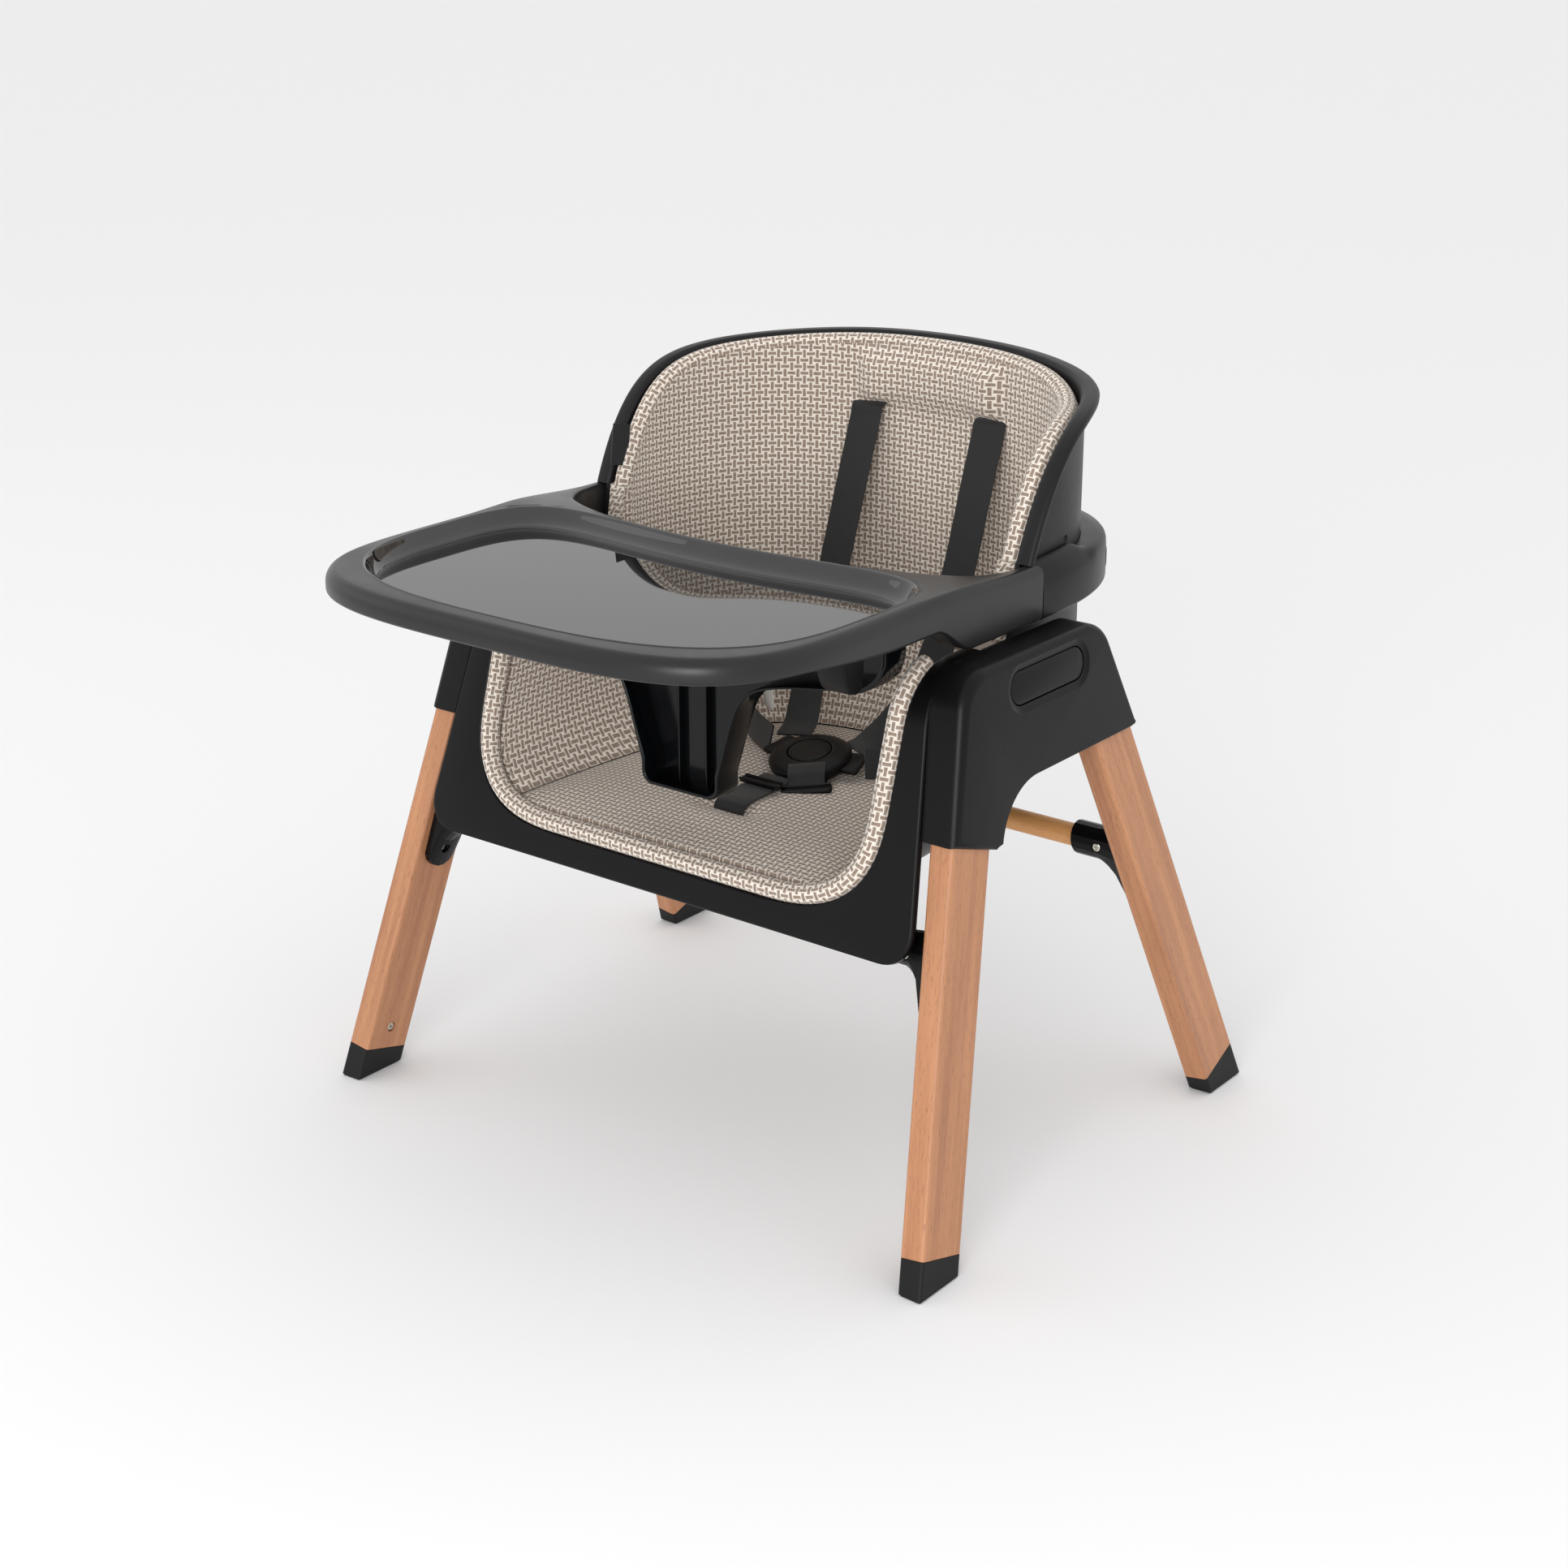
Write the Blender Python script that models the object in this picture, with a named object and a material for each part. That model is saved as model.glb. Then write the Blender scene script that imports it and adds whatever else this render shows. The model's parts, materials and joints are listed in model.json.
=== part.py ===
"""Low baby high chair: timber legs, bucket seat, slide-off tray and five-point harness.

Units are metres, +Z is up, the floor is Z = 0. The chair faces -Y and +X is the sitter's left.
The design is laid out about the point midway between the front and rear feet. One empty then
moves the whole chair along Y, so that the origin is under the centre of its bounding box.
"""

from dataclasses import dataclass
import math

import bmesh
import bpy
from mathutils import Vector

# ---------------------------------------------------------------- driving dimensions
LAYOUT_SHIFT_Y = 0.0290
GAP = 0.0003
SIDES = {"left": 1, "right": -1}

# side planes: x = plane - LEAN * z
LEAN = 0.1334
HOUSING_OUTER = 0.2639
HOUSING_INNER = 0.2394
COVER_THICKNESS = 0.0014
PANEL_EDGE = 0.2371

# timber
LEG_THICKNESS = 0.0180
LEG_DEPTH = 0.0416
LEG_CORNER = 0.0020
LEG_TOP_Z = 0.334
DOWEL_RADIUS = 0.0080
DOWEL_Z = 0.198

# end fittings of the crossbars
FITTING_REACH = 0.040
FITTING_BORE_DEPTH = 0.028
FITTING_PLATE = 0.004
FITTING_TAB_DROP = 0.030
FITTING_TAB_RADIUS = 0.0145
FITTING_SOCKET_RADIUS = 0.0120

# screws
SCREW_HEAD_RADIUS = 0.0034
SCREW_SHANK_RADIUS = 0.0020
SCREW_HEAD_HEIGHT = 0.0022
SCREW_LENGTH = 0.0130
FOOT_SCREW_HEIGHT = 0.041

# side release buttons
BUTTON_CENTRE = (0.0137, 0.3538)
BUTTON_LENGTH = 0.0866
BUTTON_HEIGHT = 0.0222
BUTTON_DEPTH = 0.0099
BUTTON_BORE = 0.0052
SPRING_RADIUS = 0.0042
SPRING_WIRE = 0.0010

# bosses between the bucket and the housings
HUB_CENTRE = (0.0100, 0.3300)
HUB_RADIUS = 0.0260

# bucket shell
SHELL_HALF_WIDTH = 0.1780
SHELL_BACK_Y = 0.2080
SHELL_FRONT_OF_CURVE = 0.034
SHELL_EXPONENT = 2.66
SHELL_WALL = 0.003
SHELL_BASE_Z = 0.2106
FRONT_CORNER = (0.2905, 0.0885)
BACK_CORNER = (0.3300, 0.1200)
CORNER_GROWTH_SHARE = 0.35
PAN_THICKNESS = 0.0030
PAN_OVERLAP = 0.0040
SHELL_SIDE_TOP_Z = 0.3680
RIM_BACK_Z = 0.5189
RIM_CORNER_DROP = 0.0131
RIM_FRONT_Z = 0.4200
RIM_CURVE_POWER = 5
RIM_FLARE = 0.0100
RIM_FLARE_HEIGHT = 0.0160

# armrest ring
RING_HALF_WIDTH = 0.1900
RING_BACK_Y = 0.2290
RING_EXPONENT = 2.8
RING_LOW_Z = 0.3780
RING_SHOULDER_Z = 0.4060
RING_TOP_Z = 0.4180
SEAM_Y = 0.0450
RING_BUTTON_TURN = math.radians(52)
RING_BUTTON_SIZE = (0.030, 0.0052, 0.0150)
RING_BUTTON_Z = 0.3925

# front panel
PANEL_LOW_Z = 0.1950
PANEL_RAKE = 0.2895
PANEL_AHEAD = 0.0050
PANEL_THICKNESS = 0.0055
PANEL_CORNER = 0.0240
PANEL_BEND_Z = 0.3400
PANEL_BEND_RADIUS = 0.0480
OPENING_HALF_WIDTH = 0.1745
OPENING_LOW_Z = 0.2140

# padding
PAD_THICKNESS = 0.0130
PAD_BACKING_GAP = 0.0013
PAD_FRONT_GAP = 0.0042
SEAT_EDGE_Z = 0.2270
SEAT_CROWN_Z = 0.2310
BACK_PAD_LEVELS = (0.2335, 0.2460, 0.2620, 0.2850, 0.3120)
BACK_PAD_TOP_Z = 0.5080
ROLL_RADIUS = 0.0062

# tray
TRAY_HALF_WIDTH = 0.1900
TRAY_FRONT_Y = -0.2870
TRAY_MIDDLE_Y = -0.1370
TRAY_BACK_Y = -0.0525
TRAY_EXPONENT = 3.6
TRAY_ARM_INNER = 0.1792
TRAY_LOW_Z = 0.3980
TRAY_FRONT_LOW_Z = 0.4054
TRAY_CROWN_Z = 0.4210
TRAY_FLOOR_Z = 0.4035
TRAY_FLOOR_THICKNESS = 0.003
LINER_THICKNESS = 0.0018
WELL_HALF_WIDTH = 0.1785
WELL_FRONT_Y = -0.2695
WELL_BACK_INSET = 0.0040
WELL_SIDE_SLOPE = 0.0075
WELL_FRONT_SLOPE = 0.0080
WELL_BACK_SLOPE = 0.0165
WELL_FRONT_EXPONENT = 2.9
WELL_BACK_EXPONENT = 3.8

# crotch post
POST_FRONT_Y = -0.1000
POST_BACK_Y = -0.0770
POST_HALF_WIDTH = 0.0330
POST_LOW_Z = 0.2580
POST_SKIRT_Z = 0.3570
POST_FLARE = (
    (0.0395, 0.2960), (0.0450, 0.3140), (0.0510, 0.3280), (0.0600, 0.3380),
    (0.0740, 0.3445), (0.0950, 0.3495), (0.1280, 0.3550),
)
POST_SKIRT_HALF_WIDTH = 0.1680
POST_WALL = 0.0028

# harness
WEBBING_WIDTH = 0.0260
WEBBING_THICKNESS = 0.0014
LAP_STRAP_WIDTH = 0.0220
LAP_STRAP_ACROSS = (0, 0.25, 1)
ADJUSTER_LENGTH = 0.0080
ADJUSTER_THICKNESS = 0.0028
CROTCH_STRAP_Y = -0.0475
SLOT_X = 0.0536
SLOT_Z = 0.4680
BUCKLE_CENTRE = (0.004, 0.040, 0.2438)
BUCKLE_RADIUS = 0.0300
BUCKLE_TILT = math.radians(12)

MATERIALS = {
    "black_plastic": ((0.012, 0.012, 0.013), 0.50, 0.0),
    "gloss_plastic": ((0.016, 0.015, 0.016), 0.12, 0.0),
    "leg_timber": ((0.500, 0.225, 0.110), 0.55, 0.0),
    "dowel_timber": ((0.480, 0.240, 0.090), 0.50, 0.0),
    "foot_rubber": ((0.015, 0.015, 0.016), 0.75, 0.0),
    "woven_fabric": ((0.420, 0.340, 0.265), 0.90, 0.0),
    "webbing": ((0.010, 0.010, 0.011), 0.85, 0.0),
    "zinc_steel": ((0.600, 0.590, 0.560), 0.30, 1.0),
}


@dataclass(frozen=True)
class Leg:
    """A raked leg, placed by the outer front corner of its foot."""

    end: str
    side: int
    foot_x: float
    foot_y: float
    lean: float
    rake: float
    cap_height: float

    @property
    def axis(self):
        return Vector((-self.side * self.lean, self.rake, 1)).normalized()

    @property
    def across(self):
        """From the inner face to the outer face."""
        return Vector((0, 1, 0)).cross(self.axis).normalized() * self.side

    @property
    def deep(self):
        """From the front face to the back face."""
        return self.axis.cross(self.across).normalized() * self.side

    def point(self, along, inwards, backwards):
        corner = Vector((self.side * self.foot_x, self.foot_y, 0))
        return corner + self.axis * along - self.across * inwards + self.deep * backwards

    def section(self, along, grow=0.0):
        """The rounded rectangle of the timber, square to the leg's axis."""
        outline = rounded_rectangle(LEG_THICKNESS, LEG_DEPTH, LEG_CORNER, 2)
        outline = inset(outline, -grow)
        return [self.point(along, LEG_THICKNESS / 2 + a, LEG_DEPTH / 2 + b) for a, b in outline]

    def on_level(self, height, grow=0.0):
        """The same section cut level with the floor."""
        return [p + self.axis * ((height - p.z) / self.axis.z) for p in self.section(0, grow)]

    def inner_face(self, height, backwards):
        """The point of the inner face at a height, so far behind the front face."""
        base = self.point(0, LEG_THICKNESS, backwards)
        return base + self.axis * ((height - base.z) / self.axis.z)


def make_legs():
    legs = {}
    for side_name, side in SIDES.items():
        legs["front", side_name] = Leg("front", side, 0.2604, -0.1826, 0.1334, 0.2895, 0.0274)
        legs["rear", side_name] = Leg("rear", side, 0.2621, 0.1826, 0.1430, -0.3839, 0.0146)
    return legs


# ---------------------------------------------------------------- outlines
def rounded_rectangle(width, height, radius, steps):
    points = []
    for quarter, (sx, sy) in enumerate(((1, 1), (-1, 1), (-1, -1), (1, -1))):
        centre_x = sx * (width / 2 - radius)
        centre_y = sy * (height / 2 - radius)
        for step in range(steps + 1):
            angle = (quarter + step / steps) * math.pi / 2
            points.append((centre_x + radius * math.cos(angle), centre_y + radius * math.sin(angle)))
    return points


def circle(radius, steps):
    turns = (2 * math.pi * i / steps for i in range(steps))
    return [(radius * math.cos(a), radius * math.sin(a)) for a in turns]


def arc(centre, radius, start_deg, end_deg, steps):
    angles = [math.radians(start_deg + (end_deg - start_deg) * i / steps) for i in range(steps + 1)]
    return [(centre[0] + radius * math.cos(a), centre[1] + radius * math.sin(a)) for a in angles]


def signed_area(points):
    pairs = zip(points, points[1:] + points[:1])
    return sum(a[0] * b[1] - b[0] * a[1] for a, b in pairs) / 2


def inset(points, distance):
    """The outline moved inwards, each corner along the bisector of its two edges."""
    turn = 1 if signed_area(points) > 0 else -1
    moved = []
    for i, here in enumerate(points):
        before = Vector(here) - Vector(points[i - 1])
        after = Vector(points[(i + 1) % len(points)]) - Vector(here)
        first = Vector((-before.y, before.x)).normalized() * turn
        second = Vector((-after.y, after.x)).normalized() * turn
        bisector = (first + second).normalized()
        reach = distance / max(bisector.dot(first), 0.5)
        moved.append((here[0] + bisector.x * reach, here[1] + bisector.y * reach))
    return moved


def power(value, exponent):
    return math.copysign(abs(value) ** exponent, value)


# ---------------------------------------------------------------- solids
def collection():
    return bpy.context.scene.collection


def get_material(name):
    found = bpy.data.materials.get(name)
    if found:
        return found
    colour, roughness, metallic = MATERIALS[name]
    made = bpy.data.materials.new(name)
    made.use_nodes = True
    shader = made.node_tree.nodes["Principled BSDF"]
    shader.inputs["Base Color"].default_value = (*colour, 1)
    shader.inputs["Roughness"].default_value = roughness
    shader.inputs["Metallic"].default_value = metallic
    return made


def add_solid(name, rings, material, cutter=False):
    """A closed solid through rings of equal length, capped at its first and last ring."""
    bm = bmesh.new()
    rows = [[bm.verts.new(p) for p in ring] for ring in rings]
    count = len(rows[0])
    for low, high in zip(rows, rows[1:]):
        for i in range(count):
            j = (i + 1) % count
            bm.faces.new((low[i], low[j], high[j], high[i]))
    bm.faces.new(rows[0][::-1])
    bm.faces.new(rows[-1])
    bm.normal_update()
    bmesh.ops.triangulate(bm, faces=bm.faces)
    bmesh.ops.recalc_face_normals(bm, faces=bm.faces)
    mesh = bpy.data.meshes.new(name)
    bm.to_mesh(mesh)
    bm.free()
    made = bpy.data.objects.new(name, mesh)
    collection().objects.link(made)
    made.parent = bpy.data.objects["chair_layout"]
    mesh.materials.append(get_material(material))
    if cutter:
        made.hide_render = True
        made.display_type = "WIRE"
    else:
        mesh.shade_smooth()
        mesh.set_sharp_from_angle(angle=math.radians(30))
    return made


def combine(target, tool_rings, operation, solver):
    name = f"{target.name}.tool{len(target.modifiers)}"
    tool = add_solid(name, tool_rings, "black_plastic", cutter=True)
    step = target.modifiers.new(name, "BOOLEAN")
    step.operation = operation
    step.solver = solver
    step.object = tool
    return target


def cut(target, tool_rings, solver="EXACT"):
    return combine(target, tool_rings, "DIFFERENCE", solver)


def join(target, tool_rings, solver="EXACT"):
    return combine(target, tool_rings, "UNION", solver)


def turned_rings(centre, direction, profile, steps=12):
    """Rings about an axis, one for each (distance along it, radius)."""
    along = Vector(direction).normalized()
    helper = Vector((0, 0, 1)) if abs(along.z) < 0.9 else Vector((1, 0, 0))
    across = along.cross(helper).normalized()
    up = across.cross(along)
    rings = []
    for distance, radius in profile:
        middle = Vector(centre) + along * distance
        rings.append([middle + across * a + up * b for a, b in circle(radius, steps)])
    return rings


def side_rings(side, layers):
    """Rings on planes parallel to the housing's faces, from (plane, (y, z) outline) layers."""
    rings = []
    for plane, outline in layers:
        rings.append([Vector((side * (plane - LEAN * z), y, z)) for y, z in outline])
    return rings


def flat_rings(low, high):
    """The rings of a plain box."""
    corners = ((low[0], low[1]), (high[0], low[1]), (high[0], high[1]), (low[0], high[1]))
    return [[Vector((x, y, z)) for x, y in corners] for z in (low[2], high[2])]


# ---------------------------------------------------------------- legs and crossbars
def screw(name, face_point, into, recess=0.0008):
    """A pan-head screw driven along into, its head let into the face that it holds."""
    profile = [
        (recess, SCREW_HEAD_RADIUS * 0.55),
        (recess + 0.0006, SCREW_HEAD_RADIUS),
        (recess + SCREW_HEAD_HEIGHT, SCREW_HEAD_RADIUS),
        (recess + SCREW_HEAD_HEIGHT, SCREW_SHANK_RADIUS),
        (recess + SCREW_LENGTH, SCREW_SHANK_RADIUS),
    ]
    return add_solid(name, turned_rings(face_point, into, profile, 10), "zinc_steel")


def screw_hole(target, face_point, into, recess=0.0008):
    """The counterbore and pilot hole that a screw goes in, with running clearance."""
    bottom = recess + SCREW_HEAD_HEIGHT + GAP
    profile = [
        (-0.004, SCREW_HEAD_RADIUS + 2 * GAP),
        (bottom, SCREW_HEAD_RADIUS + 2 * GAP),
        (bottom, SCREW_SHANK_RADIUS + GAP),
        (recess + SCREW_LENGTH + 2 * GAP, SCREW_SHANK_RADIUS + GAP),
    ]
    return cut(target, turned_rings(face_point, into, profile, 10))


def make_leg(leg, side_name):
    """Timber leg, its foot cap and the screw that holds the cap's spigot."""
    top = LEG_TOP_Z / leg.axis.z
    timber = add_solid(
        f"leg_{leg.end}_{side_name}",
        [leg.section(leg.cap_height), leg.section(top)],
        "leg_timber",
    )
    face = leg.point(leg.cap_height + FOOT_SCREW_HEIGHT * 0.4, LEG_THICKNESS, LEG_DEPTH / 2)
    screw_hole(timber, face, leg.across)
    screw(f"foot_screw_{leg.end}_{side_name}", face, leg.across)
    edge = 0.0014
    add_solid(
        f"foot_cap_{leg.end}_{side_name}",
        [leg.on_level(0, -edge), leg.on_level(edge, 0), leg.section(leg.cap_height - GAP)],
        "foot_rubber",
    )
    return timber


def fitting_ring(leg, reach, radius, drop):
    """A stadium whose upper end is round the dowel, drop metres long down the leg."""
    middle = dowel_end(leg)
    inwards = Vector((-leg.side, 0, 0))
    down = -leg.axis
    across = leg.deep
    points = []
    half = 8
    for i in range(2 * half):
        angle = math.pi * i / half
        side_shift = math.cos(angle) * radius
        lift = math.sin(angle) * radius
        shift = 0.0 if i <= half else drop
        offset = across * side_shift - down * lift + down * shift
        point = middle + offset
        start = leg.side * inner_face_x(leg, point.z) + inwards.x * GAP
        points.append(Vector((start + inwards.x * reach, point.y, point.z)))
    return points


def inner_face_x(leg, height):
    return abs(leg.inner_face(height, LEG_DEPTH / 2).x)


def dowel_end(leg):
    """Where the dowel's axis meets the leg's inner face."""
    return leg.inner_face(DOWEL_Z, LEG_DEPTH / 2)


def make_fitting(leg, side_name):
    """Socket, gusset and tab that carry one end of a crossbar on the leg's inner face."""
    rings = [
        fitting_ring(leg, 0.0, FITTING_TAB_RADIUS, FITTING_TAB_DROP),
        fitting_ring(leg, FITTING_PLATE, FITTING_TAB_RADIUS, FITTING_TAB_DROP),
    ]
    steps = 4
    for i in range(1, steps + 1):
        share = i / steps
        drop = FITTING_TAB_DROP * (1 - math.sqrt(1 - (1 - share) ** 2))
        radius = FITTING_SOCKET_RADIUS + (FITTING_TAB_RADIUS - FITTING_SOCKET_RADIUS) * (1 - share)
        rings.append(fitting_ring(leg, FITTING_PLATE + 0.018 * share, radius, drop))
    floor = FITTING_REACH - FITTING_BORE_DEPTH
    bore = DOWEL_RADIUS + 2 * GAP
    rings.append(fitting_ring(leg, FITTING_REACH, FITTING_SOCKET_RADIUS, 0.0))
    rings.append(fitting_ring(leg, FITTING_REACH, bore, 0.0))
    rings.append(fitting_ring(leg, floor, bore, 0.0))
    name = f"crossbar_fitting_{leg.end}_{side_name}"
    fitting = add_solid(name, rings, "black_plastic")

    tab = leg.inner_face(DOWEL_Z - FITTING_TAB_DROP * leg.axis.z, LEG_DEPTH / 2)
    outwards = Vector((leg.side, 0, 0))
    tab = tab - outwards * (FITTING_PLATE + GAP)
    screw_hole(fitting, tab, outwards)
    screw_hole(bpy.data.objects[f"leg_{leg.end}_{side_name}"], tab, outwards)
    screw(f"fitting_screw_{leg.end}_{side_name}", tab, outwards)
    return fitting


def crossbar_half_length(leg):
    floor = FITTING_REACH - FITTING_BORE_DEPTH
    return inner_face_x(leg, DOWEL_Z) - floor - 4 * GAP - DOWEL_RADIUS * LEAN


def make_crossbar(legs, end):
    """Round dowel between a pair of legs, pinned in its sockets by two screws."""
    leg = legs[end, "left"]
    half = crossbar_half_length(leg)
    middle = Vector((0, dowel_end(leg).y, DOWEL_Z))
    profile = [(-half, DOWEL_RADIUS), (half, DOWEL_RADIUS)]
    dowel = add_solid(f"crossbar_{end}", turned_rings(middle, (1, 0, 0), profile, 16), "dowel_timber")
    for side_name, side in SIDES.items():
        x = side * (inner_face_x(leg, DOWEL_Z) - 0.0195)
        head = Vector((x, middle.y - FITTING_SOCKET_RADIUS, DOWEL_Z))
        screw_hole(dowel, head, (0, 1, 0), 0.0)
        screw_hole(bpy.data.objects[f"crossbar_fitting_{end}_{side_name}"], head, (0, 1, 0), 0.0)
        screw(f"dowel_screw_{end}_{side_name}", head, (0, 1, 0), 0.0)


# ---------------------------------------------------------------- side housings
def housing_profile():
    """Side view (y, z) of the housing: front leg sleeve, round shoulder, back and arch."""
    front_low = (-0.1056, 0.2731)
    rear_low = (0.1148, 0.2975)
    points = [front_low]
    points += arc((-0.0550, 0.3450), 0.0300, 164, 90, 6)
    points += [(-0.0100, 0.3748)]
    points += arc((0.0640, 0.3468), 0.0280, 90, 22, 6)
    points += [rear_low, (0.1120, 0.2955)]
    points += arc((-0.0080, 0.2475), 0.0470, 90, 163, 7)
    points += [(-0.0585, 0.2602)]
    return points


def stadium(centre, length, height, steps=6):
    half = length / 2 - height / 2
    right = arc((centre[0] + half, centre[1]), height / 2, -90, 90, steps)
    left = arc((centre[0] - half, centre[1]), height / 2, 90, 270, steps)
    return right + left


def make_housing(legs, side_name):
    side = SIDES[side_name]
    profile = housing_profile()
    housing = add_solid(
        f"side_housing_{side_name}",
        side_rings(side, (
            (HOUSING_INNER, profile),
            (HOUSING_OUTER - 0.0042, profile),
            (HOUSING_OUTER - 0.0014, inset(profile, 0.0012)),
            (HOUSING_OUTER, inset(profile, 0.0040)),
        )),
        "black_plastic",
    )
    for end in ("front", "rear"):
        leg = legs[end, side_name]
        sleeve = [leg.section(0.10, GAP), leg.section(LEG_TOP_Z / leg.axis.z + GAP, GAP)]
        cut(housing, sleeve, "MANIFOLD")
    window = stadium(BUTTON_CENTRE, BUTTON_LENGTH + 0.0012, BUTTON_HEIGHT + 0.0012)
    window_layers = ((HOUSING_INNER - 0.01, window), (HOUSING_OUTER + 0.01, window))
    cut(housing, side_rings(side, window_layers), "MANIFOLD")
    web = [(-0.030, 0.302), (-0.030, 0.338), (0.052, 0.338), (0.062, 0.302)]
    web_layers = ((HOUSING_INNER - 0.01, web), (HOUSING_OUTER - 0.003, web))
    cut(housing, side_rings(side, web_layers), "MANIFOLD")


def make_housing_cover(side_name):
    """Thin plate that closes the housing on the seat's side."""
    side = SIDES[side_name]
    profile = housing_profile()
    inner = HOUSING_INNER - COVER_THICKNESS - GAP
    layers = ((inner, inset(profile, 0.0003)), (HOUSING_INNER - GAP, inset(profile, 0.0003)))
    add_solid(f"housing_cover_{side_name}", side_rings(side, layers), "black_plastic")


def make_release_button(side_name):
    """Oval push button on the housing, with the spring that returns it."""
    side = SIDES[side_name]
    face = stadium(BUTTON_CENTRE, BUTTON_LENGTH, BUTTON_HEIGHT)
    crown = inset(face, 0.0012)
    bore = [(BUTTON_CENTRE[0] + a, BUTTON_CENTRE[1] + b) for a, b in circle(BUTTON_BORE, 14)]
    back = HOUSING_OUTER - BUTTON_DEPTH
    button = add_solid(
        f"release_button_{side_name}",
        side_rings(side, ((back, face), (HOUSING_OUTER - 0.0012, face), (HOUSING_OUTER, crown))),
        "black_plastic",
    )
    cut(button, side_rings(side, ((back - 0.002, bore), (HOUSING_OUTER - 0.0036, bore))))

    coil = [(BUTTON_CENTRE[0] + a, BUTTON_CENTRE[1] + b) for a, b in circle(SPRING_RADIUS, 12)]
    inside = circle(SPRING_RADIUS - SPRING_WIRE, 12)
    hollow = [(BUTTON_CENTRE[0] + a, BUTTON_CENTRE[1] + b) for a, b in inside]
    low = HOUSING_INNER + GAP
    high = HOUSING_OUTER - 0.0072
    floor = low + SPRING_WIRE
    layers = ((low, coil), (high, coil), (high, hollow), (floor, hollow))
    add_solid(f"release_spring_{side_name}", side_rings(side, layers), "zinc_steel")


def make_seat_hub(side_name):
    """Round boss that carries the bucket between the two housings."""
    side = SIDES[side_name]
    outline = [(HUB_CENTRE[0] + a, HUB_CENTRE[1] + b) for a, b in circle(HUB_RADIUS, 18)]
    near = [Vector((side * (SHELL_HALF_WIDTH + GAP), y, z)) for y, z in outline]
    outer_plane = HOUSING_INNER - COVER_THICKNESS - 2 * GAP
    far = [Vector((side * (outer_plane - LEAN * z), y, z)) for y, z in outline]
    add_solid(f"seat_hub_{side_name}", [near, far], "black_plastic")


# ---------------------------------------------------------------- bucket seat
def panel_front_y(height):
    """The panel's front face, just ahead of the front legs' front faces."""
    return -0.1826 + PANEL_RAKE * height - PANEL_AHEAD


def panel_bend_centre():
    """(y, z) of the centre of the panel's top bend."""
    tilt = math.atan(PANEL_RAKE)
    forward = PANEL_BEND_RADIUS * math.cos(tilt)
    return panel_front_y(PANEL_BEND_Z) + forward, PANEL_BEND_Z - PANEL_BEND_RADIUS * math.sin(tilt)


def panel_back_y(height, clearance):
    """The panel's back face at a height, with a clearance behind it."""
    behind = (PANEL_THICKNESS + clearance) * math.sqrt(1 + PANEL_RAKE ** 2)
    if height <= PANEL_BEND_Z:
        return panel_front_y(height) + behind
    centre_y, centre_z = panel_bend_centre()
    radius = PANEL_BEND_RADIUS - PANEL_THICKNESS - clearance
    return centre_y - math.sqrt(max(radius ** 2 - (height - centre_z) ** 2, 0.0))


def bucket_columns(curve_steps=9):
    """Sections round the bucket, from front right to front left, closest at the steep wings."""
    straight = [1.0, 0.55, 0.06, 0.0]
    turns = [math.pi / 2 * (1 - (i / curve_steps) ** 1.8) for i in range(1, curve_steps + 1)]
    right = [("side", -1, s) for s in straight] + [("curve", -a, 0) for a in turns]
    left = [("curve", a, 0) for a in reversed(turns[:-1])] + [("side", 1, s) for s in reversed(straight)]
    return right + left


def bucket_point(column, outset, height, half_width, back_y, exponent, front_y):
    """A point of a plan curve: straight sides, then a superellipse round the back."""
    kind, value, share = column
    start = SHELL_FRONT_OF_CURVE
    if kind == "side":
        return Vector((value * (half_width + outset), start + (front_y - start) * share, height))
    across = power(math.sin(value), 2 / exponent) * (half_width + outset)
    behind = power(math.cos(value), 2 / exponent) * (back_y + outset - start)
    return Vector((across, start + behind, height))


def rim_height(column):
    """Top edge of the bucket: low beside the tray, steep wings, nearly level behind."""
    kind, value, share = column
    if kind == "side":
        return SHELL_SIDE_TOP_Z if share > 0.05 else RIM_FRONT_Z
    across = abs(math.sin(value)) ** (2 / SHELL_EXPONENT)
    behind = abs(math.cos(value)) ** (2 / SHELL_EXPONENT)
    crest = RIM_BACK_Z - RIM_CORNER_DROP * across ** 2
    return crest - (crest - RIM_FRONT_Z) * (1 - behind) ** RIM_CURVE_POWER


def corner_size(column):
    """Top height and reach of the rounded lower corner: it fits the panel's opening, then grows."""
    kind, value, share = column
    along = -share
    if kind == "curve":
        along = min(power(math.cos(value), 2 / SHELL_EXPONENT) / CORNER_GROWTH_SHARE, 1.0)
    growth = 0.5 + 0.5 * math.sin(math.pi / 2 * along)
    return [front + (back - front) * growth for front, back in zip(FRONT_CORNER, BACK_CORNER)]


def corner_inset(column, height):
    """How far the rounded lower corner draws the bucket's plan curve in at a height."""
    top, reach = corner_size(column)
    share = min(max((top - height) / (top - SHELL_BASE_Z), 0.0), 1.0)
    return reach * (1 - (1 - share ** SHELL_EXPONENT) ** (1 / SHELL_EXPONENT))


def corner_profile(column, steps=6):
    """(outset, height, inner outset, inner height) up the corner, for a wall of even thickness."""
    top, reach = corner_size(column)
    profile = []
    for i in range(steps + 1):
        turn = math.pi / 2 * (1 - i / steps)
        outset = -reach * (1 - power(math.cos(turn), 2 / SHELL_EXPONENT))
        height = top - (top - SHELL_BASE_Z) * power(math.sin(turn), 2 / SHELL_EXPONENT)
        profile.append((
            outset, height, outset - SHELL_WALL * math.cos(turn), height + SHELL_WALL * math.sin(turn),
        ))
    return profile


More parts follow.
